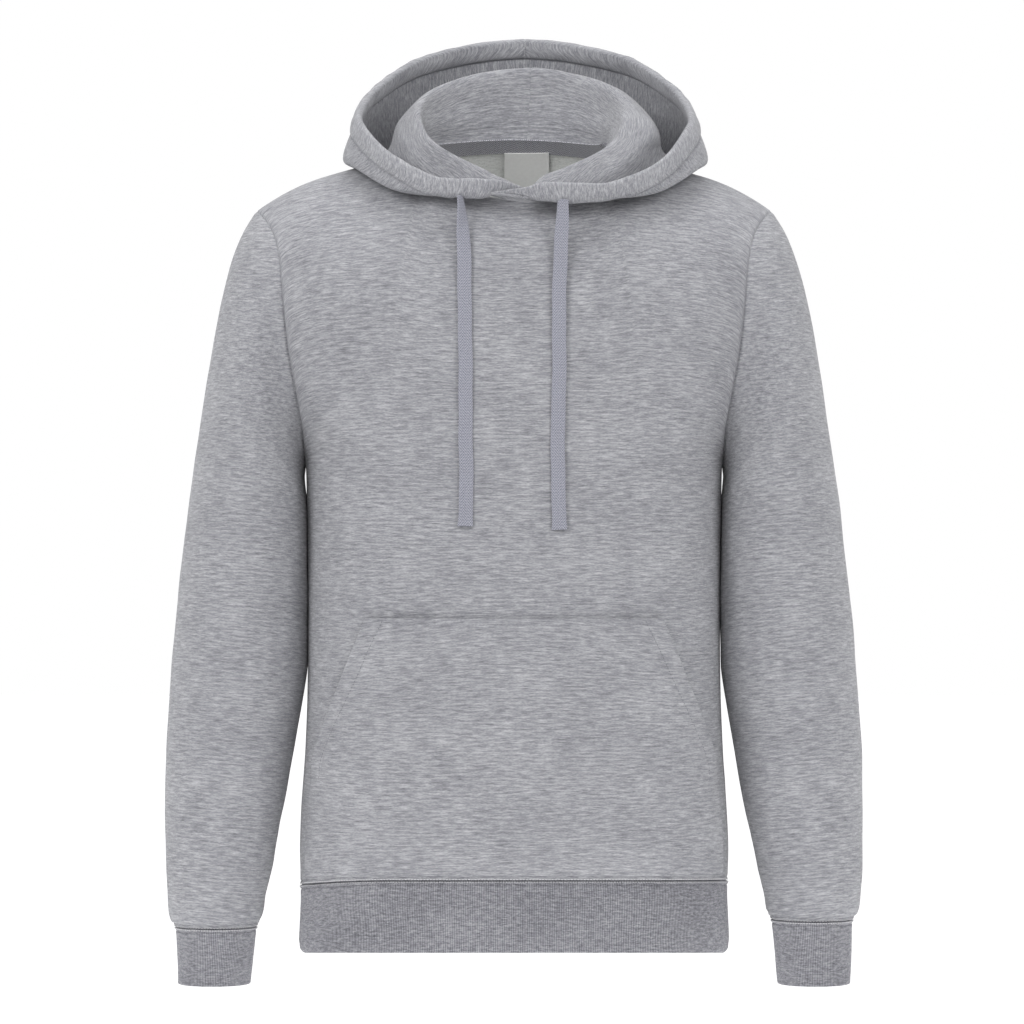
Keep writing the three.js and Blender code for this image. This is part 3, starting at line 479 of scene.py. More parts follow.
def herringbone(name, dark, light, pitch, bone, relief):
    """Twill lines that turn back every bone's width."""
    material, tree, shader, coordinates = cloth_base(name, 0.85, 0.15)
    split = tree.nodes.new("ShaderNodeSeparateXYZ")
    tree.links.new(coordinates, split.inputs["Vector"])
    across = maths(tree, "FRACT", maths(tree, "MULTIPLY", split.outputs["X"], 1 / bone))
    fold = maths(tree, "ABSOLUTE", maths(tree, "SUBTRACT", across, 0.5))
    slide = maths(tree, "MULTIPLY", fold, 2 * bone / pitch)
    line = maths(tree, "MULTIPLY_ADD", split.outputs["Y"], 1 / pitch, slide)
    lines = maths(tree, "SINE", maths(tree, "MULTIPLY", line, 2 * math.pi))
    wave = maths(tree, "MULTIPLY_ADD", lines, 0.5, 0.5)
    soft = noise(tree, coordinates, (700, 700, 1), 2, 0.6)
    mixed = maths(tree, "MULTIPLY_ADD", soft, 0.5, maths(tree, "MULTIPLY", wave, 0.5))
    colour = ramp(tree, mixed, [(0.3, dark), (0.72, light)])
    tree.links.new(colour, shader.inputs["Base Color"])
    add_bump(tree, shader, wave, relief, 0.8)
    return material


def plain_weave(name, dark, light, pitch):
    """Threads that cross at right angles."""
    material, tree, shader, coordinates = cloth_base(name, 0.6, 0.1)
    split = tree.nodes.new("ShaderNodeSeparateXYZ")
    tree.links.new(coordinates, split.inputs["Vector"])
    warp = maths(tree, "SINE", maths(tree, "MULTIPLY", split.outputs["X"], 2 * math.pi / pitch))
    weft = maths(tree, "SINE", maths(tree, "MULTIPLY", split.outputs["Y"], 2 * math.pi / pitch))
    wave = maths(tree, "MULTIPLY_ADD", maths(tree, "MULTIPLY", warp, weft), 0.5, 0.5)
    soft = noise(tree, coordinates, (300, 300, 1), 2, 0.6)
    mixed = maths(tree, "MULTIPLY_ADD", soft, 0.6, maths(tree, "MULTIPLY", wave, 0.4))
    colour = ramp(tree, mixed, [(0.25, dark), (0.75, light)])
    tree.links.new(colour, shader.inputs["Base Color"])
    add_bump(tree, shader, wave, 0.0001, 0.7)
    return material


BODY_TONES = ((0.19, 0.192, 0.212), (0.325, 0.327, 0.352), (0.56, 0.562, 0.585))
# Painted shade: the hood lining is the body's heather knit in tones about a tenth darker, for the shade
# inside the hood.
SHADED_LINING_TONES = ((0.165, 0.167, 0.186), (0.29, 0.292, 0.315), (0.51, 0.512, 0.535))
RIB_TONES = ((0.125, 0.125, 0.143), (0.25, 0.25, 0.277), (0.45, 0.45, 0.478))
INSIDE_TONES = ((0.62, 0.63, 0.62), (0.8, 0.81, 0.79), (0.9, 0.91, 0.9))
knit = heather("heather_knit", *BODY_TONES)
shaded_lining_knit = heather("heather_lining_painted_shade", *SHADED_LINING_TONES)
brushed = heather("brushed_inside", *INSIDE_TONES, knit=False, streak=4, fuzz=0.5)
# The rib knit's ribs=0.07 paints shade into the valleys between its ribs.
rib_knit = heather("heather_rib", *RIB_TONES, streak=2, ribs=0.07)
twill = herringbone("twill_tape", (0.14, 0.14, 0.17), (0.6, 0.6, 0.64), 0.0028, 0.0056, 0.0003)
cord_weave = herringbone("cord_weave", (0.19, 0.195, 0.235), (0.5, 0.505, 0.58), 0.0026, 0.0042, 0.0004)
label_weave = plain_weave("label_weave", (0.84, 0.84, 0.83), (0.93, 0.93, 0.92), 0.0007)
thread = plain_weave("thread", (0.28, 0.282, 0.32), (0.42, 0.424, 0.46), 0.0004)
# Painted shade: this thread is painted dark for the shade in the dimpled stitch holes along the pocket
# openings.
hole_shade_thread = plain_weave("hole_shade_thread", (0.12, 0.122, 0.14), (0.2, 0.202, 0.23), 0.0004)
pale_thread = plain_weave("pale_thread", (0.5, 0.5, 0.52), (0.68, 0.68, 0.7), 0.0004)


# Stitches: their length, the gap between them and the width of the thread
COVER_STITCH = (2.4, 0.4, 1.0)
ARMHOLE_STITCH = (2.4, 0.8, 0.45)
POCKET_STITCH = (2.4, 0.9, 0.42)
OPENING_STITCH = (1.5, 1.7, 0.5)
HOOD_STITCH = (2.6, 0.7, 0.5)


# Torso

def ridge_height(x):
    across = np.abs(x)
    column = NECK_HEIGHT + NECK_COLUMN * (1 - (across / NECK_HALF) ** 2)
    rounding = np.maximum(0, across - TIP_ROUNDING_START)
    shoulder = NECK_HEIGHT - SHOULDER_SLOPE * (across - NECK_HALF) - TIP_ROUNDING * rounding ** 2
    return np.where(across < NECK_HALF, column, shoulder)


def torso_depth(x, z, side):
    half = hermite(TORSO["z"], TORSO["half"], z)
    depth = hermite(TORSO["z"], TORSO["front" if side < 0 else "back"], z)
    across = np.minimum(1, np.abs(x) / half)
    fall = 1 - np.minimum(1, np.maximum(0, ridge_height(x) - z) / SHOULDER_REACH)
    shoulder = (1 - fall ** 2) ** SHOULDER_POWER
    return side * depth * shoulder * (1 - across ** SECTION_POWER) ** (1 / SECTION_POWER)


def torso_half_width(y, z):
    half = hermite(TORSO["z"], TORSO["half"], z)
    front = hermite(TORSO["z"], TORSO["front"], z)
    back = hermite(TORSO["z"], TORSO["back"], z)
    away = np.minimum(1, np.abs(y) / np.where(y < 0, front, back))
    return half * (1 - away ** SECTION_POWER) ** (1 / SECTION_POWER)


def neckline_height(x, side):
    within = np.maximum(0, 1 - (x / NECK_HALF) ** 2)
    if side < 0:
        return NECK_HEIGHT - FRONT_DROP * within ** NECKLINE_POWER
    return NECK_HEIGHT + BACK_RISE * within


def with_edges(values, reach):
    """Extra places close to both ends, where a seam turns in."""
    near = np.array(reach)
    return np.unique(np.concatenate([values, values[0] + near, values[-1] - near]))


SEAM_ROWS = [0.3, 0.7, 1.1, 1.5, 1.8, 2.2, 2.6, 3.0, 3.3, 3.6, 3.9, 4.3, 4.8, 5.6]
LOW_ROWS = np.unique(np.concatenate([
    np.linspace(HEM, UNDERARM, 56), HEM + np.array(SEAM_ROWS), [UNDERARM - 1.5]]))
ARM_PLACES = with_edges(np.concatenate([np.linspace(0, 6, 46), np.linspace(6, 9, 37)[1:]]), [0.05, 0.12])
PANEL_SHARES = with_edges(np.linspace(-1, 1, 133), [0.0015, 0.004, 0.008])
PANEL_ROWS = len(LOW_ROWS) + len(ARM_PLACES) - 1


def torso_panel(side):
    """Outer points and normals of the front (-1) or back (1) panel, hem to shoulder."""
    edge_z = np.concatenate([LOW_ROWS, hermite(ARMHOLE["place"], ARMHOLE["z"], ARM_PLACES[1:])])
    low_x = hermite(TORSO["z"], TORSO["half"], LOW_ROWS)
    edge_x = np.concatenate([low_x, hermite(ARMHOLE["place"], ARMHOLE["x"], ARM_PLACES[1:])])
    rise = ((edge_z - HEM) / (TIP_EDGE - HEM))[:, None]
    spread = rise ** 3
    size = np.abs(PANEL_SHARES)[None, :]
    top_x = np.where(size <= 0.5, 2 * size * NECK_HALF, NECK_HALF + (2 * size - 1) * (TIP_HALF - NECK_HALF))
    share = np.sin(math.pi / 2 * size) * (1 - spread) + top_x / TIP_HALF * spread
    x = np.sign(PANEL_SHARES) * edge_x[:, None] * share
    top_z = np.where(size <= 0.5, neckline_height(top_x, side), ridge_height(top_x))
    z = edge_z[:, None] + (top_z - TIP_EDGE) * rise ** 5
    y = torso_depth(x, z, side)
    under = len(LOW_ROWS) - 1
    y[:under + 1, [0, -1]] = 0
    y[-1, size[0] >= 0.5] = 0
    grid = np.stack([x, y, z], 2)
    normals = grid_normals(grid, False)
    normals *= np.where(normals[..., 1:2] * side < 0, -1, 1)
    normals[:under + 1, 0] = (-1, 0, 0)
    normals[:under + 1, -1] = (1, 0, 0)
    on_ridge = size[0] >= 0.5
    ridge = np.stack([np.sign(x[-1]) * SHOULDER_SLOPE, 0 * x[-1], 1 + 0 * x[-1]], 1)
    normals[-1, on_ridge] = unit(ridge)[on_ridge]
    return grid, normals


# Creases, listed one by one: side, route of (x, z), depth (positive stands out) and width
BODY_CREASES = [
    (-1, [(-196, -236), (-176, -262), (-150, -276)], -2.6, 13),
    (-1, [(-192, -214), (-166, -232), (-138, -238)], 1.6, 12),
    (-1, [(194, -232), (172, -262), (144, -282)], -2.4, 13),
    (-1, [(192, -210), (168, -230), (134, -232)], 1.6, 12),
    (-1, [(-186, -300), (-170, -350), (-160, -420)], -2.0, 17),
    (-1, [(186, -306), (168, -366), (162, -436)], -2.0, 17),
    (-1, [(-189, -560), (-160, -600), (-120, -622)], 1.8, 15),
    (-1, [(190, -540), (166, -590), (130, -616)], 1.8, 15),
    (-1, [(-150, -70), (-120, -130), (-112, -190)], -1.4, 22),
    (-1, [(152, -70), (126, -126), (118, -200)], -1.4, 22),
    (1, [(-196, -236), (-170, -268), (-130, -292)], -3.0, 14),
    (1, [(196, -236), (168, -272), (126, -290)], -3.0, 14),
    (1, [(-190, -320), (-158, -380), (-150, -450)], -2.4, 18),
    (1, [(190, -330), (160, -392), (146, -470)], -2.4, 18),
    (1, [(-120, -150), (0, -172), (116, -146)], 1.6, 26),
    (1, [(-150, -560), (-60, -590), (30, -584)], -2.2, 16),
    (1, [(160, -520), (90, -560), (10, -556)], 2.0, 18),
    (1, [(-100, -480), (-20, -500), (80, -488)], -1.8, 18),
]


def edge_fade(grid, edges, reach):
    """Distance from the named edges of a piece, and a value that is 0 there and 1 well inside."""
    step = np.linalg.norm(np.diff(grid, axis=1), axis=2)
    u = np.concatenate([np.zeros((len(grid), 1)), np.cumsum(step, 1)], 1)
    rise = np.linalg.norm(np.diff(grid, axis=0), axis=2)
    v = np.concatenate([np.zeros((1, grid.shape[1])), np.cumsum(rise, 0)], 0)
    far = {"left": u, "right": u[:, -1:] - u, "bottom": v, "top": v[-1:] - v}
    away = np.min([far[edge] for edge in edges], axis=0)
    return away, 1 - np.exp(-(away / reach) ** 2)


def welt(away, tuck):
    """Height beside a topstitched seam: the tuck, a raised lip and the stitching's shallow groove."""
    lip = 0.45 * np.exp(-((away - 1.8) / 0.8) ** 2)
    return lip - tuck * np.exp(-(away / 0.8) ** 2) - 0.8 * np.exp(-((away - 3.6) / 0.6) ** 2)


CLOTH_SWELL = 0.45


def dressed(grid, normals, creases, seed, edges, tuck, banded):
    """Grid with creases and soft unevenness, turned in a little along its sewn edges."""
    away, fade = edge_fade(grid, edges, 14.0)
    height = ripple(grid, seed, 120, CLOTH_SWELL) + ripple(grid, seed + 1, 46, CLOTH_SWELL * 0.35)
    for side, route, depth, width in creases:
        height = height + crease(grid, side, route, depth, width)
    to_band, _ = edge_fade(grid, [banded], 14.0)
    height = height * fade - tuck * np.exp(-(away / 1.4) ** 2) + welt(to_band, 0)
    return grid + normals * height[..., None]


def keep_edges(fresh, kept, columns=True):
    """Edge normals of a dressed grid stay those shared with its neighbours."""
    fresh[0], fresh[-1] = kept[0], kept[-1]
    if columns:
        fresh[:, 0], fresh[:, -1] = kept[:, 0], kept[:, -1]
    return fresh


front_grid, front_normals = torso_panel(-1)
back_grid, back_normals = torso_panel(1)
front_flat = flat_map(front_grid, False)
back_flat = flat_map(back_grid, False)
UNDER_ROW = len(LOW_ROWS) - 1


# Sleeves and cuffs

PLACES_ROUND = 18
RING_PLACES = np.concatenate([ARM_PLACES, PLACES_ROUND - ARM_PLACES[-2:0:-1]])
RING_TURNS = math.pi - 2 * math.pi * RING_PLACES / PLACES_ROUND
UP_ROWS = np.arange(UNDER_ROW, PANEL_ROWS)
DOWN_ROWS = UP_ROWS[-2:0:-1]
TIP_PLACE = len(UP_ROWS) - 1


def side_column(hand):
    """Column of a panel's edge on one hand, which is -1 for the viewer's left."""
    return 0 if hand < 0 else -1


def armhole_loop(front, back, hand):
    """Values of both panels along the armhole, from the underarm up the front and down the back."""
    column = side_column(hand)
    return np.concatenate([front[UP_ROWS, column], back[DOWN_ROWS, column]])


def sleeve_rings(hand):
    """Rings of the sleeve from the armhole to the cuff, with their normals."""
    loop = armhole_loop(front_grid, back_grid, hand)
    tip = loop[TIP_PLACE]
    under = loop[0]
    middle = (tip + under) / 2
    half = (tip - under) / 2
    aside = unit(np.array([half[2], 0, -half[0]]))
    away = loop - middle
    along_share = away @ half / (half @ half)
    aside_share = away @ aside
    rings = [loop]
    for k in range(len(SLEEVE["depth"])):
        outer = np.array([hand * SLEEVE["outX"][k], 0, SLEEVE["outZ"][k]])
        inner = np.array([hand * SLEEVE["inX"][k], 0, SLEEVE["inZ"][k]])
        middle, half = (outer + inner) / 2, (outer - inner) / 2
        aside = unit(np.array([half[2], 0, -half[0]]))
        blend = SLEEVE["round"][k]
        along = (1 - blend) * along_share + blend * np.cos(RING_TURNS)
        depth = (1 - blend) * loop[:, 1] - blend * SLEEVE["depth"][k] * np.sin(RING_TURNS)
        ring = middle + along[:, None] * half + (aside_share * (1 - blend))[:, None] * aside
        ring[:, 1] = depth + SLEEVE["y"][k]
        rings.append(ring)
    rings = np.array(rings)
    middles = rings.mean(1)
    keys = np.concatenate([[0], np.cumsum(np.linalg.norm(np.diff(middles, axis=0), axis=1))])
    at = np.unique(np.concatenate([
        np.linspace(0, keys[-1], 112), [0.8, 2.0, 3.4], keys[-1] - np.array(SEAM_ROWS)]))
    fine = hermite(keys, rings, at)
    low = fine[..., 2] <= UNDERARM
    least = torso_half_width(fine[..., 1], fine[..., 2]) + SLEEVE_CLEARANCE
    close = low & (np.abs(fine[..., 0]) < least)
    fine[..., 0] = np.where(close, hand * least, fine[..., 0])
    normals = grid_normals(fine, True)
    probe = normals[len(at) // 2, TIP_PLACE]
    normals *= 1 if probe[0] * hand > 0 else -1
    return fine, normals


SLEEVE_CREASES = [
    (-1, [(205, -300), (232, -318), (262, -330)], -2.6, 11),
    (-1, [(200, -330), (230, -352), (268, -360)], 1.8, 12),
    (-1, [(196, -408), (222, -424), (258, -420)], -2.4, 11),
    (-1, [(202, -452), (236, -468), (284, -452)], 2.0, 14),
    (-1, [(208, -500), (240, -512), (286, -500)], -1.6, 13),
    (-1, [(214, -596), (244, -610), (290, -604)], -2.2, 11),
    (-1, [(222, -634), (252, -646), (298, -640)], 2.4, 10),
    (-1, [(226, -662), (256, -668), (296, -662)], -2.0, 7),
    (-1, [(214, -120), (232, -170), (236, -240)], -1.8, 16),
    (1, [(202, -296), (236, -322), (270, -326)], -3.0, 12),
    (1, [(198, -372), (228, -392), (272, -384)], 2.2, 13),
    (1, [(200, -420), (236, -438), (290, -420)], -2.8, 12),
    (1, [(206, -470), (246, -486), (296, -462)], 2.2, 13),
    (1, [(212, -560), (244, -576), (294, -566)], -2.0, 13),
    (1, [(218, -622), (250, -636), (296, -628)], -2.4, 10),
    (1, [(224, -652), (258, -660), (300, -654)], 2.2, 8),
    (1, [(216, -130), (236, -180), (240, -250)], -2.0, 18),
]


def pucker(flat, size, pitch, reach, seed):
    """Small gathers along the bottom edge of a tube or panel that is sewn to a tighter band."""
    u, v = flat[..., 0] / MM, flat[..., 1] / MM
    draw = np.random.default_rng(seed)
    wander = sum(np.sin(2 * math.pi * u / (pitch * k) + draw.uniform(0, 6)) for k in (1, 1.37, 0.71))
    return size * wander / 2 * np.exp(-(np.abs(v) / reach) ** 1.5) * (1 - np.exp(-(v / 2.5) ** 2))


def sleeve_map(rings):
    """Places in the flat sleeve, in metres: round it by girth and along it by the arm's line."""
    flat = flat_map(rings, True)
    axis = unit(rings[30].mean(0) - rings[-1].mean(0))
    wide = np.concatenate([rings, rings[:, :1]], 1)
    flat[..., 1] = (wide - rings[-1].mean(0)) @ axis * MM
    return flat


def make_sleeve(name, hand):
    rings, normals = sleeve_rings(hand)
    column = side_column(hand)
    shared = armhole_loop(front_normals, back_normals, hand) + normals[0]
    shared[:, 2] -= 0.2
    shared = unit(shared)
    normals[0] = shared
    front_normals[UP_ROWS, column] = shared[:TIP_PLACE + 1]
    back_normals[DOWN_ROWS, column] = shared[TIP_PLACE + 1:]
    back_normals[UNDER_ROW, column] = shared[0]
    back_normals[-1, column] = shared[TIP_PLACE]
    flat = sleeve_map(rings)
    inner_flat = flat[:, :-1]
    mirrored = [(side, [(hand * x, z) for x, z in route], depth, width)
                for side, route, depth, width in SLEEVE_CREASES]
    if hand > 0:
        mirrored = [(side, [(x, z - 9) for x, z in route], depth * 0.9, width * 1.1)
                    for side, route, depth, width in mirrored]
    worn = dressed(rings, normals, mirrored, 20 + hand, ["top", "bottom"], 1.0, "top")
    seam_away = np.abs(inner_flat[-1:, :, 1] - inner_flat[..., 1]) / MM
    gather = np.stack([inner_flat[..., 0], seam_away * MM], 2)
    worn = worn + normals * pucker(gather, 0.7, 17, 16, 31 + hand)[..., None]
    fresh = grid_normals(worn, True)
    fresh *= 1 if (fresh[60, TIP_PLACE, 0] * hand) > 0 else -1
    fresh = keep_edges(fresh, normals, columns=False)
    outer = cuff_set(trimmed(worn, True), hand)
    inner = cuff_set(trimmed(worn - fresh * FLEECE_WALL, True), hand)
    piece = shell(f"{name}_cloth", outer, inner, True, flat, [knit, brushed])
    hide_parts(name)
    return piece, rings, outer, fresh


def resample(ring, count):
    """Closed ring of points set out at equal steps."""
    wide = np.concatenate([ring, ring[:1]])
    run = np.concatenate([[0], np.cumsum(np.linalg.norm(np.diff(wide, axis=0), axis=1))])
    at = np.linspace(0, run[-1], count, endpoint=False)
    return np.stack([np.interp(at, run, wide[:, k]) for k in range(3)], 1)


def level_normals(rings):
    middle = rings[0].mean(0)
    normals = grid_normals(rings, True)
    normals[..., 2] = 0
    normals = unit(normals)
    out = rings - middle
    facing = np.einsum("rck,rck->rc", normals, out)
    return normals * np.where(facing < 0, -1, 1)[..., None]


BAND_DEPTH = 59
HEM_EASE_TOP = -566
CUFF_SEAM = -691
CUFF_EASE_TOP = -600
CUFF_LIFT = {-1: 1.5, 1: 8.0}


def hem_set(points):
    """The hem as it hangs, level to the eye: the seam and the band's sides lower, its corners round."""
    out = points.copy()
    x, y, z = points[..., 0], points[..., 1], points[..., 2]
    near = np.minimum(y, 0)
    below = np.clip((HEM - z) / BAND_DEPTH, 0, 1)
    above = np.clip((z - HEM_EASE_TOP) / (HEM - HEM_EASE_TOP), 0, 1)
    seam_drop = 4.0 + 0.0736 * near
    edge_drop = 9.2 + 0.0876 * near
    out[..., 2] -= above ** 2 * (3 - 2 * above) * ((1 - below) * seam_drop + below * edge_drop)
    out[..., 2] -= 1.2 * below
    out[..., 2] -= 4.0 * np.clip((-110 - x) / 80, 0, 1) ** 2 * above * (1 - below)
    corner = np.clip(np.abs(x) / 190, 0, 1) ** 8 * np.clip((-697 - z) / 8, 0, 1) ** 2
    out[..., 0] *= 1 + 0.016 * below - 0.025 * corner
    return out


def cuff_set(points, hand):
    """The viewer's right sleeve is a little shorter, so its cuff seam sits higher."""
    out = points.copy()
    z = points[..., 2]
    on_sleeve = np.clip((z - CUFF_EASE_TOP) / (CUFF_SEAM - CUFF_EASE_TOP), 0, 1)
    on_cuff = np.clip((z - CUFF_BOTTOM) / (CUFF_SEAM - CUFF_BOTTOM), 0, 1)
    near = np.where(z > CUFF_SEAM, on_sleeve, on_cuff)
    out[..., 2] += CUFF_LIFT[hand] * near ** 2 * (3 - 2 * near)
    return out


def ribbed_band(name, rings, keys, ribs, rows, seed, settle):
    """Band of fine upright ribs with a folded lower edge."""
    per_rib = 3
    count = ribs * per_rib
    coarse = np.array([resample(ring, count) for ring in rings])
    fold = RIB_WALL / 2
    top, bottom = keys[0], keys[-1]
    at = np.unique(np.concatenate([
        np.linspace(top, bottom, rows), top + np.array(SEAM_ROWS) * np.sign(bottom - top),
        bottom - np.array([0.4, 1.0, 2.0, 4.0]) * np.sign(bottom - top)]))[::-1]
    fine = hermite(keys, coarse, at)
    normals = level_normals(fine)
    flat = flat_map(fine, True)
    flat[..., 0] = np.arange(count + 1) / per_rib * RIB_PITCH * MM
    phase = np.arange(count) % per_rib
    rib = np.array([0, 1, 1])[phase] * RIB_RELIEF
    to_bottom = np.abs(at - bottom)[:, None]
    to_top = np.abs(at - top)[:, None]
    calm = 1 - 0.5 * np.exp(-(to_top / 2.0) ** 2)
    height = rib[None, :] * calm + welt(to_top, 0.9)
    uneven = ripple(fine, seed, 60, 0.35) * (1 - np.exp(-(to_top / 9) ** 2))
    height = height + uneven * np.minimum(1, to_bottom / 12)
    turned = np.maximum(0, fold - to_bottom)
    rounding = fold - np.sqrt(np.maximum(0, fold ** 2 - turned ** 2))
    height = height - rounding
    outer = trimmed(fine + normals * height[..., None], True)
    inner = trimmed(fine - normals * (RIB_WALL - rounding)[..., None], True)
    outer, inner = settle(outer), settle(inner)
    piece = shell(f"{name}_cloth", outer, inner, True, flat, [rib_knit, rib_knit])
    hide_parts(name)
    return piece, outer, normals


def cuff_rings(sleeve_end, hand):
    """Rings of the cuff, from the sleeve's end down."""
    rings = [sleeve_end]
    for k in range(len(CUFF["z"])):
        middle = (CUFF["outX"][k] + CUFF["inX"][k]) / 2
        half = (CUFF["outX"][k] - CUFF["inX"][k]) / 2
        x = hand * (middle + half * np.cos(RING_TURNS))
        y = CUFF["y"][k] - CUFF["depth"][k] * np.sin(RING_TURNS)
        rings.append(np.stack([x, y, 0 * x + CUFF["z"][k]], 1))
    return rings


# Pocket

POCKET_SHARES = with_edges(np.linspace(-1, 1, 121), [0.002, 0.006, 0.012])
POCKET_ROWS = with_edges(np.linspace(POCKET["z"][0], POCKET["z"][-1], 84), SEAM_ROWS)


def pocket_grid():
    z = POCKET_ROWS
    half = hermite(POCKET["z"], POCKET["half"], z)[:, None]
    lift = hermite(POCKET["z"], POCKET["lift"], z)[:, None]
    torso_half = hermite(TORSO["z"], TORSO["half"], z)[:, None]
    share = POCKET_SHARES[None, :]
    edge_turn = np.arcsin(np.minimum(0.995, half / torso_half))
    x = POCKET_CENTRE * (1 - share ** 2) + torso_half * np.sin(edge_turn * share)
    height = z[:, None] + 0 * x
    opening = np.clip((z - POCKET_OPEN_END) / 12, 0, 1) * np.clip((POCKET_TOP - z) / 9, 0, 1)
    edge_lift = 0.45 * opening[:, None]
    swell = edge_lift + (1 - edge_lift) * (1 - share ** 4)
    y = torso_depth(x, height, -1)
    slope = torso_depth(x + 0.5, height, -1) - torso_depth(x - 0.5, height, -1)
    out = unit(np.stack([slope, -1 + 0 * slope, 0 * slope], 2))
    clear = POCKET_CLEARANCE + POCKET_SIDE_CLEARANCE * share ** 2
    return np.stack([x, y, height], 2) + out * (clear + POCKET_STAND_OFF * lift * swell)[..., None]


# Hood

def catmull(guide, at):
    """Centripetal curve through guide points, at places from 0 to 1."""
    last = len(guide) - 1
    i = np.clip(np.floor(at * last).astype(int), 0, last - 1)
    t = (at * last - i)[:, None]
    ext = np.concatenate([[2 * guide[0] - guide[1]], guide, [2 * guide[-1] - guide[-2]]])
    p0, p1, p2, p3 = ext[i], ext[i + 1], ext[i + 2], ext[i + 3]
    spans = ((p0, p1), (p1, p2), (p2, p3))
    d0, d1, d2 = (np.sqrt(np.linalg.norm(b - a, axis=1, keepdims=True)) for a, b in spans)
    m1 = ((p1 - p0) / d0 - (p2 - p0) / (d0 + d1) + (p2 - p1) / d1) * d1
    m2 = ((p2 - p1) / d1 - (p3 - p1) / (d1 + d2) + (p3 - p2) / d2) * d1
    return p1 + m1 * t + (-3 * p1 + 3 * p2 - 2 * m1 - m2) * t ** 2 + (2 * p1 - 2 * p2 + m1 + m2) * t ** 3


HOOD_STATIONS = 97
HOOD_FIRST_ANGLE = {-1: 0, 1: -14}
FRONT_TAPER = {-1: 40, 1: 48}
GREATEST_TUNNEL_SHARE = 0.35
GUIDE_PLACES = np.linspace(0, 1, 401)
SEAM_LIFT = {-1: 2.0, 1: 2.5}
HOOD_PLACES = np.concatenate([[0, 0.04, 0.1], np.linspace(0.2, 5.5, 63), [5.54, 5.57, 5.59, 5.6]])
TUNNEL_SHARES = np.array([0.0, 0.04, 0.09, 0.15, 0.23, 0.34, 0.46, 0.58, 0.7, 0.82, 0.92, 1.0])


def hood_guides(angle, hand):
    sections = table(HOOD_COLUMNS, HOOD_ENDS["left" if hand < 0 else "right"] + HOOD_SECTIONS)
    at = {name: float(hermite(sections["angle"], column, angle)) for name, column in sections.items()}
    turn = math.radians(angle)
    x = hand * (NECK_HALF - 1) * math.sin(turn)
    side = -1 if angle <= 90 else 1
    z = float(neckline_height(np.array(x), side))
    y = float(torso_depth(np.array(x), np.array(z), side))
    seam = np.array([x, y - at["off"], z + SEAM_LIFT[hand] - at["drop"]])

    def point(radius, height):
        return np.array([HOOD_CENTRE + hand * radius * math.sin(turn), -radius * math.cos(turn), height])

    roll = point(at["rollR"], at["rollZ"])
    neck = (seam + roll) / 2
    neck[0] -= hand * 1.5 * math.sin(max(0, turn))
    wide = 1 + (RIGHT_HOOD_SPREAD if hand > 0 else 0) * max(0, math.sin(turn))
    lower = float(hermite(RIGHT_DROP["angle"], RIGHT_DROP["drop"], angle)) if hand > 0 else 0
    falls = {"down": 0, "low": lower * LOWER_POUCH_SHARE, "up": lower * LOWER_POUCH_SHARE, "rim": lower}
    fuller = {"down": 1.05, "low": 1.03} if hand > 0 else {}
    rest = [point(at[f"{part}R"] * fuller.get(part, wide), at[f"{part}Z"] - fall)
            for part, fall in falls.items()]
    guide = np.array([seam, neck, roll, *rest])
    # The middle seam of the hood lies off centre inside the neck
    behind = max(0, -math.cos(turn)) ** 2
    guide[:, 0] += behind * np.array([12, 10, 8, 6, 4, 3, 2])
    return guide


def hood_half(hand):
    """Middle surface of one hood half, with the normals and tunnel swell of each station."""
    columns, swells = [], []
    guides = 6
    angles = with_edges(np.linspace(HOOD_FIRST_ANGLE[hand], 180, HOOD_STATIONS), [0.4, 1.1])
    for angle in angles:
        guide = hood_guides(angle, hand)
        dense = catmull(guide, GUIDE_PLACES)
        run = np.concatenate([[0], np.cumsum(np.linalg.norm(np.diff(dense, axis=0), axis=1))])
        tunnel = min(TUNNEL, run[-1] * GREATEST_TUNNEL_SHARE)
        start = max(3.2 / guides, np.interp(run[-1] - tunnel, run, GUIDE_PLACES))
        past = 0.5 + (HOOD_PLACES - 3) / 2.6 * (start - 0.5)
        at = np.where(HOOD_PLACES <= 3, HOOD_PLACES / guides, past)
        at = np.concatenate([at, start + (1 - start) * TUNNEL_SHARES[1:]])
        columns.append(catmull(guide, at))
        swells.append(TUNNEL_SWELL * tunnel / TUNNEL)
    grid = np.stack(columns, 1)
    # The front end of each half narrows to a point, on the viewer's right at the hanging tip
    run = np.concatenate([[0], np.cumsum(np.linalg.norm(np.diff(grid[-1], axis=0), axis=1))])
    narrow = np.clip((run + 0.6) / FRONT_TAPER[hand], 0, 1) ** 0.75
    loose = np.clip(-angles / 9, 0, 1)[None, :]
    keep = np.linspace(0, 1, len(grid))[:, None] ** 0.3 * (1 - loose) + loose
    centre = grid[-8:].mean(0)[None]
    grid = grid + (centre - grid) * ((1 - narrow)[None, :] * keep)[..., None]
    above_edge = grid[-12:, :, 2].min(0) - 2.0
    lifted = np.clip((20 - angles) / 8, 0, 1) * (hand > 0)
    grid[:-12, :, 2] += lifted * np.maximum(0, above_edge - grid[:-12, :, 2])
    thin = 0.45 + 0.55 * narrow
    normals = grid_normals(grid, False)
    normals *= -1 if normals[4, -8, 1] > 0 else 1
    normals[:, -1, 0] = 0
    normals[:, -1] = unit(normals[:, -1])
    return grid, normals, np.array(swells) * narrow, thin


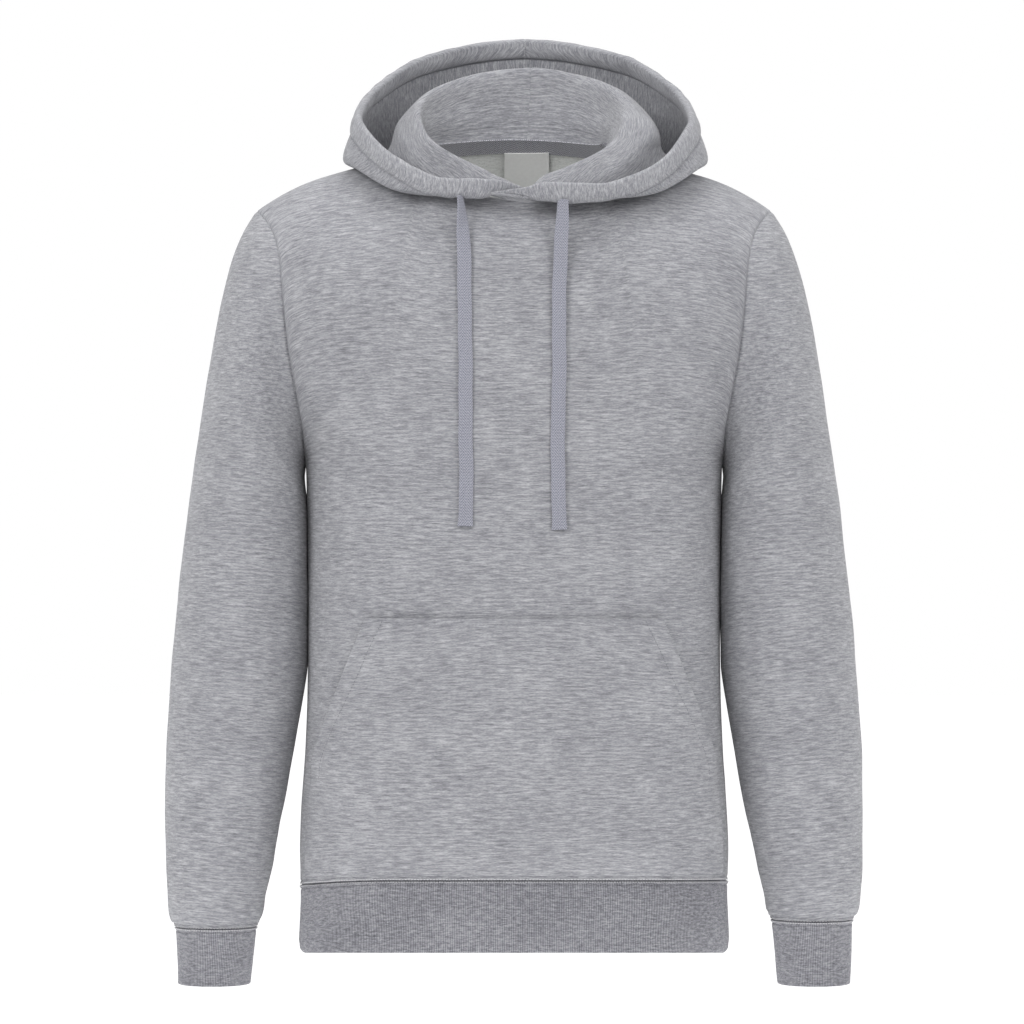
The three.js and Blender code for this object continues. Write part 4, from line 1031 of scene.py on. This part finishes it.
HOOD_CREASES = {
    -1: [
        (1, [(-30, 96), (-70, 84), (-104, 62)], -2.0, 12),
        (-1, [(-62, -20), (-84, 0), (-94, 26)], -1.6, 8),
        (1, [(-20, 40), (-80, 30), (-140, 20)], 2.0, 14),
        (1, [(-10, -40), (-70, -30), (-120, -6)], -2.6, 13),
        (1, [(-14, -84), (-60, -78), (-104, -50)], 2.2, 14),
    ],
    1: [
        (1, [(120, 60), (132, 44), (140, 24)], 3.2, 9),
        (-1, [(108, 36), (118, 22), (124, 6)], 7.0, 9),
        (-1, [(100, 20), (112, 8), (120, -4)], -2.4, 5),
        (1, [(40, 98), (84, 88), (118, 66)], -2.2, 12),
        (-1, [(72, -18), (92, 4), (104, 28)], -1.6, 8),
        (1, [(24, 36), (90, 26), (150, 12)], 2.0, 15),
        (1, [(20, -50), (80, -40), (130, -14)], -2.6, 13),
        (1, [(24, -96), (70, -88), (112, -56)], 2.0, 14),
    ],
}


# Small folds of the rim band where a cord comes out: route of (x, z), depth and width
EXIT_PINCHES = {
    -1: [([(-52, -26), (-50.5, -52)], -0.9, 1.8), ([(-47.5, -26), (-48, -52)], 0.6, 1.6),
         ([(-43, -26), (-45, -52)], -0.8, 1.7), ([(-38, -30), (-41, -52)], 0.5, 1.8)],
    1: [([(36, -28), (37.5, -56)], -0.8, 1.8), ([(41, -28), (41.5, -56)], 0.6, 1.6),
        ([(46, -28), (45.5, -56)], -0.9, 1.8), ([(51, -30), (49, -56)], 0.5, 1.8)],
}


def hood_map(grid, rim_row):
    """Places in the flat hood half, in metres: its courses follow the neck seam and cross the rim."""
    front = 25.0
    step = np.linalg.norm(np.diff(grid, axis=1), axis=2)
    reach = front + np.concatenate([np.zeros((len(grid), 1)), np.cumsum(step, 1)], 1)
    rise = np.linalg.norm(np.diff(grid, axis=0), axis=2)
    run = np.concatenate([np.zeros((1, grid.shape[1])), np.cumsum(rise, 0)], 0)
    turn = math.pi / 2 * run / run[rim_row]
    return np.stack([reach * np.cos(turn), reach * np.sin(turn)], 2) * MM


def make_hood(name, hand):
    grid, normals, swells, thin = hood_half(hand)
    body = len(HOOD_PLACES)
    flat = flat_map(grid, False)
    away, fade = edge_fade(grid, ["left", "right", "bottom"], 9.0)
    height = ripple(grid, 50 + hand, 90, 0.5)
    for side, route, depth, width in HOOD_CREASES[hand]:
        height = height + crease(grid, side, route, depth, width)
    tunnel_calm = np.concatenate([np.ones(body), 1 - 0.8 * TUNNEL_SHARES[1:]])
    height = height * tunnel_calm[:, None]
    for route, depth, width in EXIT_PINCHES[hand]:
        height = height - crease(grid, -1, route, depth, width)
    grid = grid + normals * (height * fade)[..., None]
    fresh = grid_normals(grid, False)
    fresh *= -1 if fresh[4, -8, 1] > 0 else 1
    normals = keep_edges(fresh, normals)
    half = HOOD_GAP / 2
    centre_dip = 0.5 * np.exp(-((flat[:, -1:, 0] - flat[..., 0]) / MM / 1.4) ** 2)[..., None]
    to_stitching = np.abs(flat[..., 1] - flat[body - 1, :, 1]) / MM
    groove = 1.0 * np.exp(-(to_stitching / 1.6) ** 2)[..., None]
    dips = np.maximum(centre_dip, groove)
    cloth_map = hood_map(grid, len(grid) - 1)

    lining, lining_normals = grid[:body], normals[:body]
    far = trimmed(lining + lining_normals * (half + HOOD_LAYER - dips[:body]), False)
    near = trimmed(lining + lining_normals * half, False)
    # The lining takes the darker copy of the heather knit, which is painted shade.
    lining_piece = shell(f"hood_lining_{name}_cloth", far, near, False, cloth_map[:body],
                         [shaded_lining_knit, shaded_lining_knit])
    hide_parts(f"hood_lining_{name}")

    bulge = np.sin(math.pi * np.minimum(1, TUNNEL_SHARES / 1.25)) ** 0.55
    bulge[-1] = 0.8
    pulls = 1 + 0.16 * ripple(grid[body - 1:], 60 + hand, 16, 1.0)
    puff = swells[None, :] * bulge[:, None] * pulls
    over = np.linspace(0, math.pi, 9)[1:-1]

    def layer(depth):
        """The outer layer at one depth: up the outside, over the rim and down the inside to its stitching."""
        dip = dips[..., 0] if depth > 0 else np.zeros(grid.shape[:2])

        def side(rows, sign, swell):
            away = half + depth * thin[None, :] + swell - dip[rows] * thin[None, :]
            return grid[rows] + normals[rows] * (sign * away)[..., None]

        low = np.arange(body - 1)
        top = np.arange(body - 1, len(grid))
        out = [side(low, -1, np.zeros((len(low), grid.shape[1]))), side(top, -1, puff)]
        rim_dir = unit(grid[-1] - grid[-2])
        reach = half + depth * thin + puff[-1] - dip[-1] * thin
        turned = [grid[-1] + reach[:, None] * (-np.cos(a) * normals[-1] + np.sin(a) * rim_dir) for a in over]
        out.append(np.array(turned))
        out.append(side(top, 1, puff)[::-1][:-1])
        return np.concatenate(out)

    outer = trimmed(layer(HOOD_LAYER), False)
    inner = trimmed(layer(0), False)
    outer_map = hood_map(outer, len(grid) - 1)
    outer_piece = shell(f"hood_outer_{name}_cloth", outer, inner, False, outer_map, [knit, knit])
    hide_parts(f"hood_outer_{name}")
    seam = grid[body - 1]
    ends = slice(3, -3)
    lift = half + HOOD_LAYER - 0.75
    facing = normals[body - 1]
    stitches(f"hood_stitches_{name}", [(seam - facing * lift)[ends], (seam + facing * lift)[ends]],
             [-facing[ends], facing[ends]], *HOOD_STITCH, thread)
    return outer_piece, lining_piece


# Camera and light, in metres

SENSOR_WIDTH = 36
CAMERA_LENS = 175.8
CAMERA_PLACE = (-0.0018, -4.5, -0.3186)
WORLD_LIGHT = 0.47
FLOOR_HEIGHT = -1.0
FLOOR_NEAR = -0.8
FLOOR_REACH = 14.0
FLOOR_GLOW = 0.68
# Each light's place, target, size and power
LIGHTS = {
    "key": ((-1.75, -1.75, 1.25), (0, 0, -0.2), (1.0, 1.3), 31),
    "fill": ((1.75, -1.75, 1.2), (0, 0, -0.2), (1.0, 1.3), 24),
    "front": ((0, -1.5, 0.9), (0, 0, -0.1), (0.8, 0.5), 3.5),
    "top": ((0, 0.2, 1.5), (0, 0.05, 0), (1.4, 0.8), 12),
}


def add_camera():
    data = bpy.data.cameras.new("photo_camera")
    data.sensor_width = SENSOR_WIDTH
    data.lens = CAMERA_LENS
    camera = bpy.data.objects.new("photo_camera", data)
    camera.location = CAMERA_PLACE
    camera.rotation_euler = (math.pi / 2, 0, 0)
    bpy.context.scene.collection.objects.link(camera)
    bpy.context.scene.camera = camera


def add_light(name, place, target, size, power):
    data = bpy.data.lights.new(name, "AREA")
    data.shape = "RECTANGLE"
    data.size, data.size_y = size
    data.energy = power
    light = bpy.data.objects.new(name, data)
    light.location = place
    way = np.array(target, float) - np.array(place, float)
    tilt = math.acos(-way[2] / np.linalg.norm(way))
    light.rotation_euler = (tilt, 0, math.atan2(way[1], way[0]) - math.pi / 2)
    bpy.context.scene.collection.objects.link(light)


def add_studio():
    world = bpy.data.worlds.new("studio")
    world.use_nodes = True
    bpy.context.scene.world = world
    background = world.node_tree.nodes["Background"]
    background.inputs["Color"].default_value = (1, 1, 1, 1)
    background.inputs["Strength"].default_value = WORLD_LIGHT
    sky = world.node_tree.nodes.new("ShaderNodeBackground")
    sky.inputs["Strength"].default_value = 1.0
    sight = world.node_tree.nodes.new("ShaderNodeLightPath")
    either = world.node_tree.nodes.new("ShaderNodeMixShader")
    links = world.node_tree.links
    links.new(sight.outputs["Is Camera Ray"], either.inputs["Fac"])
    links.new(background.outputs["Background"], either.inputs[1])
    links.new(sky.outputs["Background"], either.inputs[2])
    links.new(either.outputs["Shader"], world.node_tree.nodes["World Output"].inputs["Surface"])
    sky.inputs["Color"].default_value = (1, 1, 1, 1)
    bpy.context.scene.view_settings.view_transform = "Standard"
    mesh = bpy.data.meshes.new("floor")
    corners = ((-FLOOR_REACH, FLOOR_NEAR), (FLOOR_REACH, FLOOR_NEAR), (FLOOR_REACH, FLOOR_REACH),
               (-FLOOR_REACH, FLOOR_REACH))
    mesh.from_pydata([(x, y, FLOOR_HEIGHT) for x, y in corners], [], [(0, 1, 2, 3)])
    floor_material = bpy.data.materials.new("pale_floor")
    floor_material.use_nodes = True
    shader = floor_material.node_tree.nodes["Principled BSDF"]
    shader.inputs["Base Color"].default_value = (0.92, 0.92, 0.92, 1)
    shader.inputs["Roughness"].default_value = 0.9
    shader.inputs["Emission Color"].default_value = (1, 1, 1, 1)
    shader.inputs["Emission Strength"].default_value = FLOOR_GLOW
    mesh.materials.append(floor_material)
    floor = bpy.data.objects.new("floor", mesh)
    bpy.context.scene.collection.objects.link(floor)
    for name, (place, target, size, power) in LIGHTS.items():
        add_light(name, place, target, size, power)


add_camera()


# Cords, made before the cloth they hang on

CORD_WIDTH = 12.5
CORD_THICKNESS = 1.8


def make_cord(name, route, twist_top):
    z = route["z"]
    centre = np.stack([route["x"], torso_depth(route["x"], z, -1) - route["out"], z], 1)
    dense = catmull(centre, np.linspace(0, 1, 400))
    run = np.concatenate([[0], np.cumsum(np.linalg.norm(np.diff(dense, axis=0), axis=1))])
    stations = 150
    at = np.linspace(0, run[-1], stations)
    line = np.stack([np.interp(at, run, dense[:, k]) for k in range(3)], 1)
    along = unit(np.gradient(line, axis=0))
    across = unit(np.array([1.0, 0, 0]) - along * along[:, :1])
    through = np.cross(across, along)
    turn_by = np.radians(twist_top) * np.exp(-(at / 34) ** 2)
    turned = across * np.cos(turn_by)[:, None] + through * np.sin(turn_by)[:, None]
    normal = np.cross(turned, along)
    sides = 32
    theta = 2 * math.pi * (np.arange(sides) + 0.5) / sides
    wide = np.sign(np.cos(theta)) * np.abs(np.cos(theta)) ** 0.45
    thick = np.sign(np.sin(theta)) * np.abs(np.sin(theta)) ** 0.8
    ridge = 1 + 0.1 * np.cos(3 * math.pi * wide)
    flare = 1 + 0.1 * np.exp(-((run[-1] - at) / 5) ** 2)
    narrow = 1 - 0.12 * np.exp(-(at / 16) ** 2)
    sway = 0.35 * np.sin(at / 19.0) + 0.2 * np.sin(at / 7.3)
    rings = (line + sway[:, None] * turned)[:, None, :] \
        + (CORD_WIDTH / 2 * wide)[None, :, None] * (flare * narrow)[:, None, None] * turned[:, None, :] \
        + (CORD_THICKNESS / 2 * thick * ridge)[None, :, None] * normal[:, None, :]
    points = rings.reshape(-1, 3)
    faces, places = quads_between(stations, sides, True)
    u = np.concatenate([wide, wide[:1]]) * CORD_WIDTH / 2
    size = (stations, sides + 1)
    flat = np.stack([np.broadcast_to(u, size), np.broadcast_to(at[:, None], size)], 2) * MM
    uv = flat[places[..., 0], places[..., 1]]
    caps, cap_uv = [], []
    for base, row, turned_over in ((0, 0, True), ((stations - 1) * sides, -1, False)):
        for k in range(sides // 2 - 1):
            quad = np.array([base + k, base + k + 1, base + sides - 2 - k, base + sides - 1 - k])
            own = flat[row][[k, k + 1, sides - 2 - k, sides - 1 - k]]
            caps.append(quad[::-1] if turned_over else quad)
            cap_uv.append(own[::-1] if turned_over else own)
    faces = np.concatenate([faces, np.array(caps)])
    uv = np.concatenate([uv, np.array(cap_uv)])
    piece = make_piece(f"drawcord_{name}_woven", points, faces, uv, [cord_weave],
                       np.zeros(len(faces), int))
    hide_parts(f"drawcord_{name}")
    return piece


make_cord("left", CORDS["left"], 62)
make_cord("right", CORDS["right"], -28)
add_studio()


# Sleeves first, because they share the normals of the armhole seam with the panels

SEAM_ROW_INSET = 1.8

for side_name, hand in (("left", -1), ("right", 1)):
    sleeve_piece, rings, worn, fresh = make_sleeve(f"sleeve_{side_name}", hand)
    loops = cuff_rings(rings[-1], hand)
    keys = [float(ring[:, 2].mean()) for ring in loops]
    cuff, cuff_outer, cuff_normals = ribbed_band(
        f"cuff_{side_name}", loops, keys, ribs=140, rows=7, seed=70 + hand,
        settle=lambda points: cuff_set(points, hand))
    above, above_normals = inset_line(worn, fresh, "top", SEAM_ROW_INSET)
    below, below_normals = inset_line(cuff_outer, cuff_normals, "bottom", SEAM_ROW_INSET)
    stitches(f"cuff_stitches_{side_name}", [ring_closed(above), ring_closed(below)],
             [ring_closed(above_normals), ring_closed(below_normals)], *COVER_STITCH, pale_thread)

# Front and back panels
arm_lines, arm_normals, hem_lines, hem_normals = [], [], [], []
for name, grid, normals, flat, side, seed in (
        ("front_panel", front_grid, front_normals, front_flat, -1, 3),
        ("back_panel", back_grid, back_normals, back_flat, 1, 7)):
    creases = [one for one in BODY_CREASES if one[0] == side]
    worn = dressed(grid, normals, creases, seed, ["left", "right", "bottom", "top"], 1.0, "bottom")
    worn = worn + normals * pucker(flat, 0.6, 23, 15, seed + 40)[..., None]
    fresh = grid_normals(worn, False)
    fresh *= np.where(np.einsum("rck,rck->rc", fresh, normals) < 0, -1, 1)[..., None]
    fresh = keep_edges(fresh, normals)
    worn, inner = hem_set(trimmed(worn, False)), hem_set(trimmed(worn - fresh * FLEECE_WALL, False))
    piece = shell(f"{name}_cloth", worn, inner, False, flat, [knit, brushed])
    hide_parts(name)
    for edge in ("left", "right"):
        line, up = inset_line(worn, fresh, edge, SEAM_ROW_INSET, slice(UNDER_ROW + 3, -1))
        arm_lines.append(line)
        arm_normals.append(up)
    line, up = inset_line(worn, fresh, "bottom", SEAM_ROW_INSET)
    hem_lines.append(line[2:-2])
    hem_normals.append(up[2:-2])
stitches("armhole_stitches", arm_lines, arm_normals, *ARMHOLE_STITCH, thread)

# Waistband
hem = np.concatenate([front_grid[0], back_grid[0][-2:0:-1]])
shares = np.concatenate([PANEL_SHARES, PANEL_SHARES[-2:0:-1]])
band_rings = [hem]
for k in (2, 1, 0):
    z = TORSO["z"][k]
    x = np.sign(shares) * TORSO["half"][k] * np.sin(math.pi / 2 * np.abs(shares))
    on_front = np.arange(len(hem)) < len(PANEL_SHARES)
    y = np.where(on_front, torso_depth(x, z + 0 * x, -1), torso_depth(x, z + 0 * x, 1))
    y[[0, len(PANEL_SHARES) - 1]] = 0
    band_rings.append(np.stack([x, y, z + 0 * x], 1))
waistband, band_outer, band_normals = ribbed_band(
    "waistband", band_rings, [HEM, -660, -690, -705], ribs=640, rows=6, seed=77, settle=hem_set)
below, below_normals = inset_line(band_outer, band_normals, "bottom", SEAM_ROW_INSET)
stitches("waistband_stitches", [*hem_lines, ring_closed(below)], [*hem_normals, ring_closed(below_normals)],
         *COVER_STITCH, pale_thread)

# Pocket
POCKET_ROW_INSET = 19.0
pocket = pocket_grid()
pocket_normals = grid_normals(pocket, False)
pocket_normals *= np.where(pocket_normals[..., 1:2] > 0, -1, 1)
pocket_flat = flat_map(pocket, False)
_, fade = edge_fade(pocket, ["left", "right", "bottom", "top"], 12.0)
lift = (ripple(pocket, 91, 90, 0.4) + 0.4) * fade
to_top, _ = edge_fade(pocket, ["top"], 12.0)
to_sides, _ = edge_fade(pocket, ["left", "right"], 12.0)
sewn = 0.2 * np.exp(-(to_top / 1.2) ** 2) + 0.8 * np.exp(-(to_sides / 1.4) ** 2)
holes = 0.3 * np.exp(-((to_sides - POCKET_ROW_INSET) / 1.3) ** 2) * (pocket[..., 2] > POCKET_OPEN_END)
POCKET_SHORT = POCKET["z"][0] - HEM
to_seam, _ = edge_fade(pocket, ["bottom"], 12.0)
sewn = sewn - welt(to_seam + POCKET_SHORT, 0.8)
outer = pocket + pocket_normals * (FLEECE_WALL + lift - sewn - holes)[..., None]
outer = hem_set(outer)
inner = hem_set(pocket + pocket_normals * (lift * 0.5)[..., None])
pocket_piece = shell("kangaroo_pocket_cloth", outer, inner, False, pocket_flat, [knit, brushed])
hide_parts("kangaroo_pocket")
above_opening = np.flatnonzero(POCKET_ROWS > POCKET_OPEN_END)
below_opening = np.flatnonzero(POCKET_ROWS < POCKET_OPEN_END)
pocket_lines, pocket_ups = [], []
side_rows = slice(2, below_opening[-1])
for edge, distance, rows in (("top", 1.8, slice(3, -3)), ("top", 5.4, slice(6, -6)),
                             ("left", 1.8, side_rows), ("right", 1.8, side_rows)):
    line, up = inset_line(outer, pocket_normals, edge, distance, rows)
    pocket_lines.append(line)
    pocket_ups.append(up)
seam_line, seam_up = inset_line(outer, pocket_normals, "bottom", SEAM_ROW_INSET - POCKET_SHORT, slice(2, -2))
stitches("pocket_hem_stitches", [seam_line], [seam_up], *COVER_STITCH, pale_thread)
stitches("pocket_stitches", pocket_lines, pocket_ups, *POCKET_STITCH, thread)
# The stitch row along each pocket opening is real; its dark thread is painted shade for the stitch holes.
opening_rows = slice(above_opening[0] - 2, above_opening[-1] - 4)
opening_lines = [inset_line(outer, pocket_normals, edge, POCKET_ROW_INSET, opening_rows)
                 for edge in ("left", "right")]
stitches("pocket_opening_stitches", [line for line, _ in opening_lines], [up for _, up in opening_lines],
         *OPENING_STITCH, hole_shade_thread)

# Hood
for side_name, hand in (("left", -1), ("right", 1)):
    outer_piece, lining_piece = make_hood(side_name, hand)


# Neck tape and label, on the inner face of the back panel

def inside_back(half_width, top, height, inset, thickness, columns, rows, centre=0):
    x = centre + np.linspace(-half_width, half_width, columns)[None, :] + np.zeros((rows, 1))
    z = top(x) - np.linspace(0, height, rows)[:, None]
    step = 0.5
    y = torso_depth(x, z, 1)
    slope_x = (torso_depth(x + step, z, 1) - torso_depth(x - step, z, 1)) / (2 * step)
    slope_z = (torso_depth(x, z + step, 1) - torso_depth(x, z - step, 1)) / (2 * step)
    out = unit(np.stack([-slope_x, 1 + 0 * x, -slope_z], 2))
    place = np.stack([x, y, z], 2)
    near = place - out * (FLEECE_WALL + inset)
    return near, near - out * thickness


tape_near, tape_far = inside_back(
    half_width=84, top=lambda x: neckline_height(x, 1) + 5.0, height=11.5, inset=0.5, thickness=1.0,
    columns=96, rows=11)
tape = shell("neck_tape_woven", tape_far, tape_near, False, flat_map(tape_far, False), [twill, twill])
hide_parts("neck_tape")
label_near, label_far = inside_back(
    half_width=21, top=lambda x: 12.0 + 0 * x, height=46, inset=1.7, thickness=0.8,
    columns=30, rows=32, centre=12)
label = shell("neck_label_woven", label_far, label_near, False, flat_map(label_far, False),
              [label_weave, label_weave])
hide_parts("neck_label")
